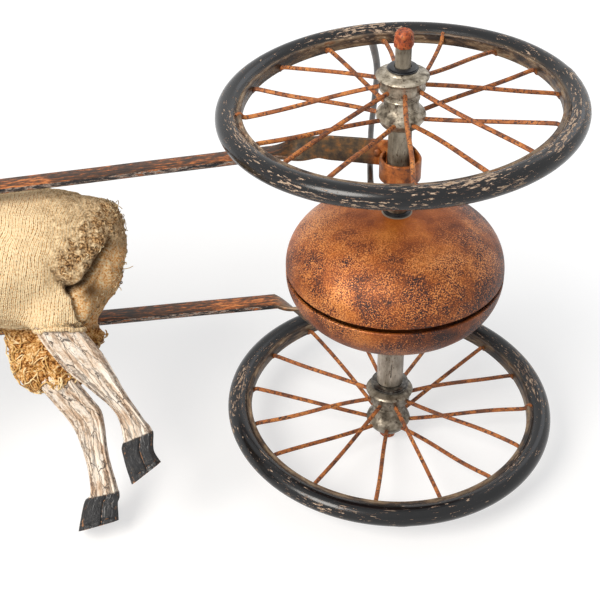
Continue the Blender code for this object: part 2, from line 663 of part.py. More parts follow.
# Stay: a steel rod beside the left strap's inner edge, up past the wheel
stay_level = strap_level(1) - STRAP_WIDTH / 2 - GAP - STAY_FOOT_RADIUS
stay_points = smooth_route([Vector((x, y, stay_level)) for x, y in STAY_ROUTE], 2)
stay_radii = []
for i in range(len(stay_points)):
    t = i / (len(stay_points) - 1)
    stay_radii.append(STAY_RADIUS + (STAY_TOP_RADIUS - STAY_RADIUS) * t ** 3
                      + (STAY_FOOT_RADIUS - STAY_RADIUS) * (1 - t) ** 4)
piece("stay_rod", wire(stay_points, stay_radii, 10), dark_steel, frame_line)

# Breast yoke: a flat bar bent between the front ends of the shafts
yoke_front = SHAFT_FRONT + YOKE_THICKNESS / 2
tab_end = yoke_front + YOKE_TAB


def yoke_half(side):
    """Points and outward directions of half of the yoke, from its tab to its middle."""
    inset = side * (SHAFT_THICKNESS / 2 + TURNING_GAP + YOKE_THICKNESS / 2)
    inner = shaft_centre(side, yoke_front).z - inset
    rows = [(tab_end, shaft_centre(side, tab_end).z - inset, 0.0)]
    for i in range(6):
        turn = math.pi / 2 * i / 5
        rows.append((yoke_front + YOKE_BEND_RADIUS * (1 - math.sin(turn)),
                     inner - side * YOKE_BEND_RADIUS * (1 - math.cos(turn)), turn))
    return rows


yoke_sections = []
for side in (1, -1):
    rows = yoke_half(side)
    if side == -1:
        rows.reverse()
    for x, z, turn in rows:
        outward = Vector((-math.sin(turn), 0, side * math.cos(turn)))
        centre = Vector((x, SHAFT_HEIGHT_OVER_AXLE, z))
        yoke_sections.append(bar_section(centre, Vector((0, 1, 0)), outward,
                                         YOKE_WIDTH, YOKE_THICKNESS))
yoke = piece("breast_yoke", loft(yoke_sections), rusty_steel, frame_line)


def round_bar(start_x, end_x, radius, steps):
    """A round bar along X, on the line that the goat rolls about."""
    level = Vector((0, SHAFT_HEIGHT_OVER_AXLE, 0))
    points = [level + Vector((start_x, 0, 0)), level + Vector((end_x, 0, 0))]
    return wire(points, [radius, radius], steps)


breast = BODY_RINGS[-1][0]
yoke_hole = piece("yoke_hole",
                  round_bar(yoke_front - YOKE_THICKNESS, yoke_front + YOKE_THICKNESS,
                            EYE_BOLT_RADIUS + GAP, 16),
                  rusty_steel, frame_line)
combine(yoke, yoke_hole, "DIFFERENCE")

# Eye bolt: its eye takes the pull cord and its shank is the goat's pivot
collar_end = SHAFT_FRONT - GAP
collar_start = collar_end - EYE_COLLAR_LENGTH
eye_bolt = piece("eye_bolt",
                 round_bar(collar_start - EYE_WIRE_RADIUS * 0.8, breast + EYE_BOLT_DEPTH,
                           EYE_BOLT_RADIUS, 14),
                 grey_steel, frame_line)
collar = piece("eye_collar", round_bar(collar_start, collar_end, EYE_COLLAR_RADIUS, 14),
               grey_steel, frame_line)
eye_profile = arc(EYE_RADIUS, 0, EYE_WIRE_RADIUS, EYE_WIRE_RADIUS, 0, 2 * math.pi * 6 / 7, 6)
bm = turned_ring(eye_profile, 18)
bmesh.ops.translate(bm, vec=(collar_start - EYE_RADIUS, SHAFT_HEIGHT_OVER_AXLE, 0), verts=bm.verts)
eye = piece("eye_ring", bm, grey_steel, frame_line)
combine(eye_bolt, collar, "UNION")
combine(eye_bolt, eye, "UNION")


# Goat: a stuffed body in knitted cloth on wooden legs, with a wooden head
def goat_piece(name, bm, finish, sharp=35.0):
    """A piece of the goat, made as wide and as tall as the shafts leave room for."""
    bmesh.ops.scale(bm, vec=(1.0, goat_girth, goat_girth), verts=bm.verts)
    return piece(name, bm, finish, goat_line, sharp=sharp)


def body_ring(x, h, half_s, half_h, steps, lean=0.0):
    """An oval across the goat, leaning forward by an angle."""
    across = Vector((0, 0, 1))
    along = Vector((math.sin(lean), math.cos(lean), 0))
    return round_section(Vector((x, h, 0)), across, along, half_s, half_h, steps)


def body_limb(rows, offset, steps):
    """A swelling limb of level ovals, to one side of the goat's middle."""
    sections = []
    for x, h, half_x, half_s in rows:
        centre = Vector((x, h, offset))
        sections.append(round_section(centre, Vector((1, 0, 0)), Vector((0, 0, 1)),
                                      half_x, half_s, steps))
    return loft(sections)


body = goat_piece("goat_body", loft([body_ring(*ring, BODY_STEPS) for ring in BODY_RINGS]),
                  knitted_cloth)
for name, rows, offset in (("left_haunch", LEFT_HAUNCH, HIND_LEG_OFFSET),
                           ("right_haunch", RIGHT_HAUNCH, -HIND_LEG_OFFSET),
                           ("left_shoulder", LEFT_SHOULDER, FORELEG_OFFSET),
                           ("right_shoulder", RIGHT_SHOULDER, -FORELEG_OFFSET)):
    swell = goat_piece(name, body_limb(rows, offset, HAUNCH_STEPS), knitted_cloth)
    combine(body, swell, "UNION")


def neck_solid(extra):
    """The neck, made larger all over by an extra amount."""
    along = Vector((math.cos(NECK_LEAN), math.sin(NECK_LEAN), 0))
    upward = Vector((-along.y, along.x, 0))
    sections = []
    for i, (x, h, half_s, half_x) in enumerate(NECK_RINGS):
        centre = Vector((x, h, 0))
        if i == len(NECK_RINGS) - 1:
            centre += upward * extra
        sections.append(round_section(centre, Vector((0, 0, 1)), along,
                                      half_s + extra, half_x + extra, HEAD_STEPS))
    return loft(sections)


neck = goat_piece("neck", neck_solid(0.0), knitted_cloth)
combine(body, neck, "UNION")
pivot_hole = piece("pivot_hole",
                   wire([Vector((breast - EYE_BOLT_DEPTH / 2, 0, 0)),
                         Vector((breast + EYE_BOLT_DEPTH + TURNING_GAP, 0, 0))],
                        [EYE_BOLT_RADIUS + TURNING_GAP] * 2, 14), knitted_cloth, goat_line)
combine(body, pivot_hole, "DIFFERENCE")


def leg(name, rows, offset):
    """A leg and hoof carved from a plank, thinner at the shin than at the hoof."""
    sections = []
    for front_x, front_h, back_x, back_h, half in rows:
        front = Vector((front_x, front_h, 0))
        back = Vector((back_x, back_h, 0))
        centre = (front + back) / 2
        centre.z = offset
        across = (back - front).normalized()
        sections.append(bar_section(centre, across, Vector((0, 0, 1)),
                                    (back - front).length, 2 * half, half * 0.6))
    return goat_piece(name, loft(sections), painted_wood, 50.0)


leg("left_hind_leg", LEFT_HIND_LEG, HIND_LEG_OFFSET)
leg("right_hind_leg", RIGHT_HIND_LEG, -HIND_LEG_OFFSET)
leg("left_foreleg", LEFT_FORELEG, FORELEG_OFFSET)
leg("right_foreleg", RIGHT_FORELEG, -FORELEG_OFFSET)

# Head with horns, ears and beard, carved and joined as one piece
head_axis = Vector((math.sin(HEAD_PITCH), math.cos(HEAD_PITCH), 0))
head_sections = []
for x, h, half_s, half_h in HEAD_RINGS:
    head_sections.append(round_section(Vector((x, h, 0)), Vector((0, 0, 1)), head_axis,
                                       half_s, half_h, HEAD_STEPS))
head = goat_piece("goat_head", loft(head_sections), painted_wood)
for side in (1, -1):
    horn_points = []
    for i, (x, h) in enumerate(HORN_ROUTE):
        flare = HORN_SPREAD + HORN_FLARE * i / (len(HORN_ROUTE) - 1)
        horn_points.append(Vector((x, h, side * flare)))
    horn_points = smooth_route(horn_points, 2)
    radii = []
    for i in range(len(horn_points)):
        t = i / (len(horn_points) - 1)
        radii.append(HORN_BASE_RADIUS + (HORN_TIP_RADIUS - HORN_BASE_RADIUS) * t)
    horn = goat_piece("horn_%+d" % side, wire(horn_points, radii, 10), painted_wood)
    combine(head, horn, "UNION")
    ear_root = Vector((EAR_ROOT[0], EAR_ROOT[1], side * EAR_ROOT[2]))
    ear_way = Vector((0.25, -0.12, side)).normalized()
    ear_across = Vector((1, 0.3, 0)).cross(ear_way).cross(ear_way).normalized()
    ear_sections = []
    for t, share in ((0.0, 0.45), (0.3, 0.95), (0.6, 1.0), (0.85, 0.6), (1.0, 0.12)):
        ear_sections.append(round_section(ear_root + ear_way * (EAR_LENGTH * t), ear_across,
                                          ear_way.cross(ear_across), EAR_HALF_WIDTH * share,
                                          EAR_HALF_THICKNESS * max(share, 0.4), 8))
    ear = goat_piece("ear_%+d" % side, loft(ear_sections), painted_wood)
    combine(head, ear, "UNION")
beard_points = [Vector((x, h, 0)) for x, h in BEARD_ROUTE]
beard = goat_piece("beard", wire(beard_points, [BEARD_RADIUS, BEARD_RADIUS * 0.7,
                                                BEARD_TIP_RADIUS], 10), painted_wood)
combine(head, beard, "UNION")
neck_cut = goat_piece("neck_cut", neck_solid(GAP), knitted_cloth)
combine(head, neck_cut, "DIFFERENCE")
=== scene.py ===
"""Looks of the goat cart toy, laid on its right side on a white studio table."""
import math
import random

import bmesh
import bpy
from mathutils import Matrix, Vector, noise
from mathutils.bvhtree import BVHTree
from mathutils.kdtree import KDTree


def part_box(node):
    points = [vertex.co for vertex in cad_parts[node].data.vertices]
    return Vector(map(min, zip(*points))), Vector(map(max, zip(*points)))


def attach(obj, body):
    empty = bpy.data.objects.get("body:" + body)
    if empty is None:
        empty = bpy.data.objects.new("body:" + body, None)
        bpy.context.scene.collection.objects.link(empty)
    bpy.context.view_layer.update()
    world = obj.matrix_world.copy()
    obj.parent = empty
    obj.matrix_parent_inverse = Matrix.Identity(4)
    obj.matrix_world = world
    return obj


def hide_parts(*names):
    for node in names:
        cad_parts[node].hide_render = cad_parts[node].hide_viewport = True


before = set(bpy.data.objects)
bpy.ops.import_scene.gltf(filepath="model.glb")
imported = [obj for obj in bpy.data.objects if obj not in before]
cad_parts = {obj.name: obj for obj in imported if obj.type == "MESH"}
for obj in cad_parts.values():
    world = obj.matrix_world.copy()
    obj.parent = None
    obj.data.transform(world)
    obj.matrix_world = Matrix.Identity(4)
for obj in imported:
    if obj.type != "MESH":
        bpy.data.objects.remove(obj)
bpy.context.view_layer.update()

# Camera. It looks down on the toy from beside its top, about a metre away, through a
# long lens, as the photograph does.
look_ahead = Vector((0.14714508, 0.79392378, -0.58994352))
look_right = Vector((0.98246042, -0.18638168, -0.0057779))
look_up = look_right.cross(look_ahead)
camera_lens = bpy.data.cameras.new("camera")
camera_lens.sensor_width = 36.0
camera_lens.lens = 82.94
camera_lens.clip_start = 0.05
camera = bpy.data.objects.new("camera", camera_lens)
camera.matrix_world = (Matrix.Translation((-0.21737, -0.79622, 0.7330))
                       @ Matrix((look_right, look_up, -look_ahead)).transposed().to_4x4())
bpy.context.collection.objects.link(camera)
bpy.context.scene.camera = camera
bpy.context.scene.view_settings.view_transform = "Standard"


# Studio. A white table and a white room, with one large soft lamp over the camera's
# left shoulder and a weaker one on the far side.
def colour(code):
    """The linear colour of an sRGB hex value."""
    parts = [int(code[i:i + 2], 16) / 255 for i in (1, 3, 5)]
    return tuple(c / 12.92 if c <= 0.04045 else ((c + 0.055) / 1.055) ** 2.4
                 for c in parts) + (1.0,)


def connect(tree, made, *values):
    """Give a node's sockets a value, a hex colour or a link: in order, or in a dict by name."""
    named = values[-1] if values and isinstance(values[-1], dict) else {}
    in_use = [socket for socket in made.inputs if socket.enabled]
    pairs = list(zip(in_use, values[:-1] if named else values))
    pairs += [(made.inputs[name], value) for name, value in named.items()]
    for socket, value in pairs:
        if isinstance(value, bpy.types.Node):
            value = [output for output in value.outputs if output.enabled][0]
        if isinstance(value, bpy.types.NodeSocket):
            tree.links.new(value, socket)
        else:
            socket.default_value = colour(value) if isinstance(value, str) else value


def add(tree, kind, *values, stops=(), **settings):
    """Add a shader node with its settings, its sockets' values and links, and a ramp's stops."""
    made = tree.nodes.new("ShaderNode" + kind)
    for setting, value in settings.items():
        setattr(made, setting, value)
    if stops:
        ramp = made.color_ramp
        while len(ramp.elements) < len(stops):
            ramp.elements.new(1.0)
        for element, (place, code) in zip(ramp.elements, stops):
            element.position = place
            element.color = colour(code)
    connect(tree, made, *values)
    return made


def seen_white(tree):
    """1 for rays from the camera, off gloss or through glass, and 0 for light."""
    rays = add(tree, "LightPath")
    gloss = add(tree, "Math", rays.outputs["Is Camera Ray"], rays.outputs["Is Glossy Ray"],
                operation="MAXIMUM")
    return add(tree, "Math", gloss, rays.outputs["Is Transmission Ray"], operation="MAXIMUM")


room = bpy.data.worlds.new("white_room")
room.use_nodes = True
tree = room.node_tree
tree.nodes.clear()
lit = add(tree, "Background", "#ffffff", 0.50)
white = add(tree, "Background", "#ffffff", 1.0)
add(tree, "OutputWorld", add(tree, "MixShader", seen_white(tree), lit, white))
bpy.context.scene.world = room

for lamp_name, place, size, power, tint in (
        ("key_lamp", (-1.25, -0.85, 1.35), 1.05, 37.0, "#fffaf3"),
        ("far_lamp", (1.1, 0.9, 1.3), 1.0, 2.5, "#f3f7ff")):
    lamp_data = bpy.data.lights.new(lamp_name, "AREA")
    lamp_data.shape = "DISK"
    lamp_data.size = size
    lamp_data.energy = power
    lamp_data.color = colour(tint)[:3]
    lamp = bpy.data.objects.new(lamp_name, lamp_data)
    lamp.location = place
    lamp.rotation_euler = (Vector((-0.1, 0, 0.12)) - lamp.location).to_track_quat("-Z",
                                                                                  "Y").to_euler()
    bpy.context.collection.objects.link(lamp)

bpy.ops.object.select_all(action="DESELECT")
bpy.ops.mesh.primitive_plane_add(size=40.0, location=(0, 0, -0.0008))
table_top = bpy.context.active_object
table_top.name = "table_top"
paper = bpy.data.materials.new("white_paper")
paper.use_nodes = True
tree = paper.node_tree
tree.nodes.clear()
dull = add(tree, "BsdfDiffuse", "#f6f6f6")
bright = add(tree, "Math", seen_white(tree), 1.14, operation="MULTIPLY")
glow = add(tree, "Emission", "#ffffff", bright)
# The glow hides half of the table's own shade near the toy, where the rest keeps the
# toy's shadow, and all of it farther off.
spot = add(tree, "TexCoord").outputs["Object"]
off_toy = add(tree, "VectorMath", spot, (0.12, 0.0, 0.0), operation="ADD")
off_toy = add(tree, "VectorMath", off_toy, operation="LENGTH")
fade = add(tree, "MapRange", off_toy, 0.26, 0.55, 0.5, 1.0)
add(tree, "OutputMaterial", add(tree, "MixShader", fade, dull, glow))
table_top.data.materials.append(paper)


# Axle and sleeves. The axle is a drawn steel rod. The left sleeve is tube, and the right
# one is rolled from sheet, with an open seam that has rusted.
def millimetres(node):
    """A CAD node's lowest and highest corners in millimetres."""
    low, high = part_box(node)
    return Vector(low) * 1000, Vector(high) * 1000


def turned(name, profile, steps):
    """A closed profile of (radius, level) in millimetres, spun about the axle."""
    bpy.ops.object.select_all(action="DESELECT")
    bpy.ops.mesh.primitive_circle_add(vertices=len(profile), radius=0.01, fill_type="NOTHING")
    made = bpy.context.active_object
    made.name = name
    made.data.name = name
    for vertex, (radius, level) in zip(made.data.vertices, profile):
        vertex.co = (radius / 1000, 0, level / 1000)
    bpy.ops.object.mode_set(mode="EDIT")
    bpy.ops.mesh.select_all(action="SELECT")
    bpy.ops.mesh.spin(steps=steps, angle=2 * math.pi, center=(0, 0, 0), axis=(0, 0, 1))
    bpy.ops.mesh.select_all(action="SELECT")
    bpy.ops.mesh.remove_doubles(threshold=1e-6)
    bpy.ops.mesh.normals_make_consistent(inside=False)
    bpy.ops.object.mode_set(mode="OBJECT")
    bpy.ops.object.shade_smooth_by_angle(angle=math.radians(38))
    return made


def begin(name):
    """A new Principled material: itself, its tree, its shader and Object coordinates."""
    made = bpy.data.materials.new(name)
    made.use_nodes = True
    tree = made.node_tree
    place = add(tree, "TexCoord").outputs["Object"]
    return made, tree, tree.nodes["Principled BSDF"], place


def weathered(name, shades, patch, pit, pit_colour, pits, rough, metal, stretch=(1, 1, 1),
              depth=0.1, shine=0.0):
    """Bare or painted steel that has aged: patches of shades, with pits of rust or dirt.

    Sizes are in millimetres. pits is the share of the noise that turns to pit colour, and
    shine is how much smoother the lightest patches are.
    """
    made, tree, shader, place = begin(name)
    where = add(tree, "Mapping", {"Vector": place, "Scale": stretch})
    patches = add(tree, "TexNoise", where, 1000 / patch, 5, 0.6)
    spread = 0.30 / max(len(shades) - 1, 1)
    tone = add(tree, "ValToRGB", patches,
               stops=[(0.35 + spread * i, code) for i, code in enumerate(shades)])
    speckle = add(tree, "TexNoise", where, 1000 / pit, 4.0, 0.7)
    dark = add(tree, "ValToRGB", speckle,
               stops=[(pits - 0.03, "#ffffff"), (pits + 0.05, "#000000")])
    mixed = add(tree, "Mix", dark, tone, pit_colour, data_type="RGBA")
    bump = add(tree, "Bump", {"Strength": 0.8, "Distance": depth / 1000, "Height": speckle})
    worn = add(tree, "MapRange", patches, 0.35, 0.65, rough, rough - shine)
    connect(tree, shader, {"Base Color": mixed, "Roughness": worn, "Metallic": metal,
                           "Normal": bump})
    return made


def dress(piece, body, finish, slot, *nodes):
    """Give a piece its material and body, and hide the CAD nodes that it stands for. slot is not
    used.
    """
    piece.data.materials.clear()
    piece.data.materials.append(finish)
    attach(piece, body)
    if nodes:
        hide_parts(*nodes)
    return piece


def chosen(main, *others):
    """Select pieces and nothing else, with the first one active."""
    bpy.ops.object.select_all(action="DESELECT")
    for piece in (main, *others):
        piece.select_set(True)
    bpy.context.view_layer.objects.active = main


def applied(piece, kind, **settings):
    """Give a piece a modifier with its settings, and apply it."""
    chosen(piece)
    modifier = piece.modifiers.new(kind.lower(), kind)
    for setting, value in settings.items():
        setattr(modifier, setting, value)
    bpy.ops.object.modifier_apply(modifier=modifier.name)


def barrel(inner, outer, low, high, edge):
    """Profile of a tube or washer whose outer edges are rounded by edge."""
    return ((inner, low), (outer - edge, low), (outer - edge * 0.3, low + edge * 0.3),
            (outer, low + edge), (outer, high - edge), (outer - edge * 0.3, high - edge * 0.3),
            (outer - edge, high), (inner, high))


# Drawn mild steel, dull grey with brown stain: rough 0.4, patches a few millimetres wide.
bare_steel = weathered("drawn_mild_steel", ("#514a3e", "#857b6b", "#aaa08f"), 9.0, 1.3,
                       "#4a3a2a", 0.38, 0.46, 0.45, (1, 1, 0.35), 0.05, 0.12)
sheet_steel = weathered("rolled_sheet_steel", ("#746b5d", "#a1978a", "#c2b8a9"), 7.0, 1.3,
                        "#5a4a3a", 0.37, 0.44, 0.4, (1, 1, 0.35), 0.05, 0.12)
low, high = millimetres("axle")
dress(turned("steel_axle", barrel(0.001, 5.4, low.z, high.z, 0.4), 40),
      "wheelset", bare_steel, "axle_steel", "axle")
low, high = millimetres("left_sleeve")
dress(turned("left_tube_sleeve", barrel(5.7, 8.1, low.z, high.z, 0.5), 48),
      "wheelset", bare_steel, "axle_steel", "left_sleeve")
low, high = millimetres("right_sleeve")
rolled_sleeve = turned("right_rolled_sleeve", barrel(5.7, 10.0, low.z, high.z, 0.6), 96)
# The seam opens into a narrow slot along part of its length, on the side seen.
seam_turn = math.radians(-100.8)
bpy.ops.mesh.primitive_cube_add(size=1.0, location=(0.0098 * math.cos(seam_turn),
                                                    0.0098 * math.sin(seam_turn), 0.0716),
                                rotation=(0, 0, seam_turn))
slot_cutter = bpy.context.active_object
slot_cutter.scale = (0.0040, 0.0008, 0.0130)
applied(rolled_sleeve, "BOOLEAN", object=slot_cutter)
bpy.data.objects.remove(slot_cutter, do_unlink=True)
dress(rolled_sleeve, "wheelset", sheet_steel, "axle_steel", "right_sleeve")
dress(turned("bell_spacer_tube", barrel(5.7, 9.0, *[v.z for v in millimetres("bell_spacer")], 0.5),
             40), "wheelset", bare_steel, "axle_steel", "bell_spacer")

# Washers. Stamped steel in worn black enamel. The one on the left hub is two thin washers,
# and the cup washer is domed and glossy.
black_enamel = weathered("black_enamel", ("#141416", "#1d1e21", "#2c2d30"), 5.0, 0.9, "#6a5a4a",
                         0.30, 0.34, 0.0, depth=0.04, shine=0.08)
dark_polish = weathered("rubbed_dark_steel", ("#35322f", "#4d4a46", "#777269"), 5.0, 0.9, "#2c221a",
                        0.32, 0.24, 0.75, depth=0.04, shine=0.08)
for name, outer, groove, body in (("left_hub_washer", 10.6, 1.1, "left_washer"),
                                  ("right_hub_washer", 10.6, 1.1, "wheelset"),
                                  ("bell_washer", 10.0, 1.0, "wheelset"),
                                  ("cup_washer", 14.6, 0.7, "wheelset")):
    low, high = millimetres(name)
    middle = (low.z + high.z) / 2
    outline = ((5.8, low.z), (outer - 0.5, low.z), (outer - 0.1, low.z + 0.25),
               (outer, middle - 0.4), (outer - 0.1, middle - 0.2), (outer - groove, middle),
               (outer - groove, middle + 0.15), (outer - groove * 0.8, high.z - 0.35),
               (outer - groove * 1.6, high.z), (5.8, high.z))
    dress(turned("stamped_" + name, outline, 56), body,
          dark_polish if name == "cup_washer" else black_enamel, "black_washer", name)

# Nuts. Cap nuts so worn and rusted that little of their six flats is left, bright
# orange with darker hollows.
nut_rust = weathered("thick_orange_rust", ("#76331a", "#b0532a", "#cc7c48"), 5.0, 1.6, "#46200f",
                     0.42, 0.62, 0.15, depth=0.25, shine=0.12)
for name, way in (("left_nut", 1), ("right_nut", -1)):
    low, high = millimetres(name)
    face, end = (low.z, high.z) if way > 0 else (high.z, low.z)
    tall = abs(end - face)
    outline = [(r, face + way * tall * share) for r, share in (
        (0.001, 0.62), (4.1, 0.62), (4.1, 0.0), (6.2, 0.0), (6.6, 0.06), (6.7, 0.2), (6.6, 0.52),
        (6.3, 0.6), (6.45, 0.66), (6.2, 0.8), (5.4, 0.91), (4.15, 1.0), (0.001, 1.0))]
    nut = turned("rusty_" + name, outline, 60)
    for vertex in nut.data.vertices:
        share = abs(vertex.co.z * 1000 - face) / tall
        if vertex.co.xy.length > 0.005 and share < 0.97:
            turn = math.atan2(vertex.co.y, vertex.co.x)
            flats = 0.045 * math.cos(6 * turn) * (1 - share * 0.6)
            vertex.co.xy *= 0.965 + flats + 0.02 * noise.noise(vertex.co * 400)
    dress(nut, "wheelset", nut_rust, "rusty_nut", name)

# Hubs. Cast spools of grey pot metal, with a sharp lip over a band that takes the upper
# spokes, a waist that shows the mould's seam, and a bulge with a band for the lower ones.
hub_profile = ((5.8, 20.6), (10.2, 20.6), (10.9, 20.1), (11.6, 19.0), (13.4, 18.4), (16.0, 17.7),
               (17.5, 16.9), (18.0, 16.0), (17.7, 15.2), (16.6, 14.5), (15.8, 13.4), (15.75, 7.4),
               (15.2, 6.4), (13.6, 5.8), (12.1, 4.9), (11.7, 3.6), (11.75, 1.2), (12.3, 0.8),
               (12.5, 0.3), (12.3, -0.2), (11.75, -0.6), (11.7, -4.6), (12.4, -6.6), (14.6, -8.5),
               (16.3, -10.4), (17.0, -12.4), (16.8, -14.3), (15.8, -16.0), (14.6, -17.0),
               (14.2, -18.4), (13.0, -19.9), (12.2, -20.6), (5.8, -20.6))
pot_metal, tree, shader, place = begin("cast_pot_metal")
cast = add(tree, "TexNoise", place, 1000 / 7, 5, 0.6)
tone = add(tree, "ValToRGB", cast, stops=[(0.34, "#484034"), (0.47, "#8b8170"), (0.62, "#bfb5a3")])
dirt = add(tree, "ValToRGB", add(tree, "TexNoise", place, 1000 / 4, 6.0, 0.65),
           stops=[(0.36, "#ffffff"), (0.45, "#000000")])
stained = add(tree, "Mix", dirt, tone, "#3a2c20", data_type="RGBA")
# The lower hub, down under the bell, is painted darker: painted shade.
up_axle = add(tree, "SeparateXYZ", place).outputs[2]
low_hub_painted_shade = add(tree, "MapRange", up_axle, 0.1, 0.2, 0.42, 0.0)
stained = add(tree, "Mix", low_hub_painted_shade, stained, "#3b3228", data_type="RGBA")
sand = add(tree, "TexNoise", place, 1000 / 0.8, 3.0, 0.6)
bump = add(tree, "Bump", {"Strength": 0.5, "Distance": 0.0002, "Height": sand})
smooth = add(tree, "MapRange", cast, 0.35, 0.62, 0.58, 0.3)
connect(tree, shader, {"Base Color": stained, "Metallic": 0.5, "Roughness": smooth, "Normal": bump})
wheels = (("left", "left_wheel"), ("right", "wheelset"))
hub_level = {}
for side, body in wheels:
    low, high = millimetres(side + "_hub")
    hub_level[side] = (low.z + high.z) / 2
    spool = turned(side + "_cast_hub", [(r, z + hub_level[side]) for r, z in hub_profile], 72)
    for vertex in spool.data.vertices:
        if vertex.co.xy.length > 0.007:
            vertex.co.xy *= 1 + 0.008 * noise.noise(vertex.co * 160)
    dress(spool, body, pot_metal, "pot_metal", side + "_hub")


# Rims. Sheet steel rolled to a round bead with a flat ledge inside it for the spokes'
# hooks, butted at one place, and dipped in black enamel that has chipped to its primer.
def bead_arc(centre, radius, start, end, steps):
    """Points of a round bead in the rim's section, between two angles in degrees."""
    turns = [math.radians(start + (end - start) * i / steps) for i in range(steps + 1)]
    return [(centre + radius * math.cos(turn), radius * math.sin(turn)) for turn in turns]


ledge_half = [(110.3, 3.3), (109.8, 3.4), (109.2, 3.95), (108.4, 4.2), (107.6, 4.2), (107.1, 3.8),
              (106.85, 3.2), (107.0, 2.4), (106.8, 1.2)]
bead_middle, bead_round, ledge_end = 117.4, 7.6, 109.0
rim_outline = (bead_arc(bead_middle, bead_round, -151, 151, 26) + ledge_half + [(106.7, 0.0)]
               + [(r, -z) for r, z in reversed(ledge_half)])


def chipped_enamel(name, seam):
    """Black enamel on a rim, with its chips drawn out along the rim from its seam."""
    made, tree, shader, place = begin(name)
    level = add(tree, "Mapping", {"Vector": place, "Rotation": (0, 0, math.pi - seam)})
    parts = add(tree, "SeparateXYZ", level)
    turn = add(tree, "Math", parts.outputs[1], parts.outputs[0], operation="ARCTAN2")
    # Along the rim in metres, 117 mm from its middle.
    along = add(tree, "Math", turn, 0.117, operation="MULTIPLY")
    flat = add(tree, "CombineXYZ", parts.outputs[0], parts.outputs[1])
    radius = add(tree, "VectorMath", flat, operation="LENGTH")
    drawn_out = add(tree, "CombineXYZ", along, radius, parts.outputs[2])
    stretched = add(tree, "Mapping", {"Vector": drawn_out, "Scale": (0.24, 1.0, 1.0)})
    patches = add(tree, "TexNoise", stretched, 1000 / 22, 3.0, 0.6)
    chips = add(tree, "TexNoise", stretched, 1000 / 1.4, 7.0, 0.68)
    scratched = add(tree, "Mapping", {"Vector": drawn_out, "Rotation": (0, 0, 0.09),
                                      "Scale": (0.05, 1.0, 0.7)})
    scratches = add(tree, "Math", add(tree, "TexNoise", scratched, 1000, 4.0, 0.6), -0.055,
                    operation="ADD")
    share = add(tree, "Math", patches, 0.6, -0.3, operation="MULTIPLY_ADD")
    chipped = add(tree, "Math", chips, share, operation="ADD")
    chipped = add(tree, "Math", chipped, scratches, operation="MAXIMUM")
    paint = add(tree, "ValToRGB", chipped,
                stops=[(0.0, "#08090b"), (0.45, "#0d0e10"), (0.6, "#141416"), (0.613, "#5d3a2a"),
                       (0.626, "#9b7d68"), (0.66, "#cbb8a2"), (0.73, "#8f7257")])
    bare = add(tree, "ValToRGB", add(tree, "TexNoise", stretched, 1000 / 4.5, 6.0, 0.6),
               stops=[(0.3, "#1e1815"), (0.42, "#4b3a2d"), (0.5, "#82654a"), (0.58, "#b59c7c"),
                      (0.66, "#96602f")])
    # The ledge, inside a radius of 110 mm, is scraped nearly bare.
    inside = add(tree, "MapRange", radius, 0.1092, 0.1112, 1.0, 0.0)
    worn = add(tree, "Math", inside, chips, operation="MULTIPLY", use_clamp=True)
    mixed = add(tree, "Mix", worn, paint, bare, data_type="RGBA")
    open_chip = add(tree, "MapRange", chipped, 0.6, 0.626)
    rough = add(tree, "Math", open_chip, worn, operation="MAXIMUM")
    dull = add(tree, "MapRange", rough, 0, 1, 0.21, 0.68)
    sunk = add(tree, "Math", open_chip, -1.0, operation="MULTIPLY")
    bump = add(tree, "Bump", {"Strength": 0.7, "Distance": 0.0003, "Height": sunk})
    connect(tree, shader, {"Base Color": mixed, "Roughness": dull, "Specular IOR Level": 0.42,
                           "Normal": bump})
    return made


# Each rim's lean about X and Y and the turn of its seam, in degrees.
rim_facts = {"left": (-1.16, -2.39, 4.2), "right": (2.67, 0.76, -99.1)}
rim_level, rim_tilt = {}, {}
for side, body in wheels:
    lean_x, lean_y, seam = [math.radians(turn) for turn in rim_facts[side]]
    low, high = millimetres(side + "_rim")
    rim_level[side] = (low.z + high.z) / 2
    rim_tilt[side] = Matrix.Rotation(lean_x, 3, "X") @ Matrix.Rotation(lean_y, 3, "Y")
    rim = turned(side + "_rolled_rim", rim_outline, 216)
    for vertex in rim.data.vertices:
        place = vertex.co.copy()
        turn = math.atan2(place.y, place.x)
        dent = 0.00022 * noise.noise(place * 90) + 0.00008 * noise.noise(place * 420)
        # The bead stands a little proud at the seam, as a hammered butt joint does.
        out = place
        if place.xy.length > ledge_end / 1000:
            gap = abs(math.remainder(turn - seam, 2 * math.pi)) * 117
            bead = Vector((math.cos(turn), math.sin(turn), 0)) * bead_middle / 1000
            out = bead + (place - bead) * (1 + 0.05 * math.exp(-(gap / 3.5) ** 2))
        vertex.co = rim_tilt[side] @ (out * (1 + dent)) + Vector((0, 0, rim_level[side] / 1000))
    dress(rim, body, chipped_enamel(side + "_chipped_enamel", seam), "black_rim", side + "_rim")


# Spokes. Sixteen hard steel wires in each wheel, hooked over or under the ledge and, in
# turn, into the upper and the lower band of the hub, rusted orange over dark scale.
def drawn(name, outlines):
    """A solid drawn through a row of outlines, as one face extruded from each to the next."""
    bpy.ops.object.select_all(action="DESELECT")
    bpy.ops.mesh.primitive_circle_add(vertices=len(outlines[0]), radius=0.01, fill_type="NGON")
    made = bpy.context.active_object
    made.name = name
    made.data.name = name
    bpy.ops.object.mode_set(mode="EDIT")
    bpy.ops.mesh.select_all(action="SELECT")
    for i, outline in enumerate(outlines):
        if i:
            bpy.ops.mesh.extrude_region_move()
        bm = bmesh.from_edit_mesh(made.data)
        front = [face for face in bm.faces if face.select][0]
        for vertex, point in zip(front.verts, outline):
            vertex.co = point
    bpy.ops.mesh.select_all(action="SELECT")
    bpy.ops.mesh.normals_make_consistent(inside=False)
    bpy.ops.object.mode_set(mode="OBJECT")
    bpy.ops.object.shade_smooth_by_angle(angle=math.radians(38))
    return made


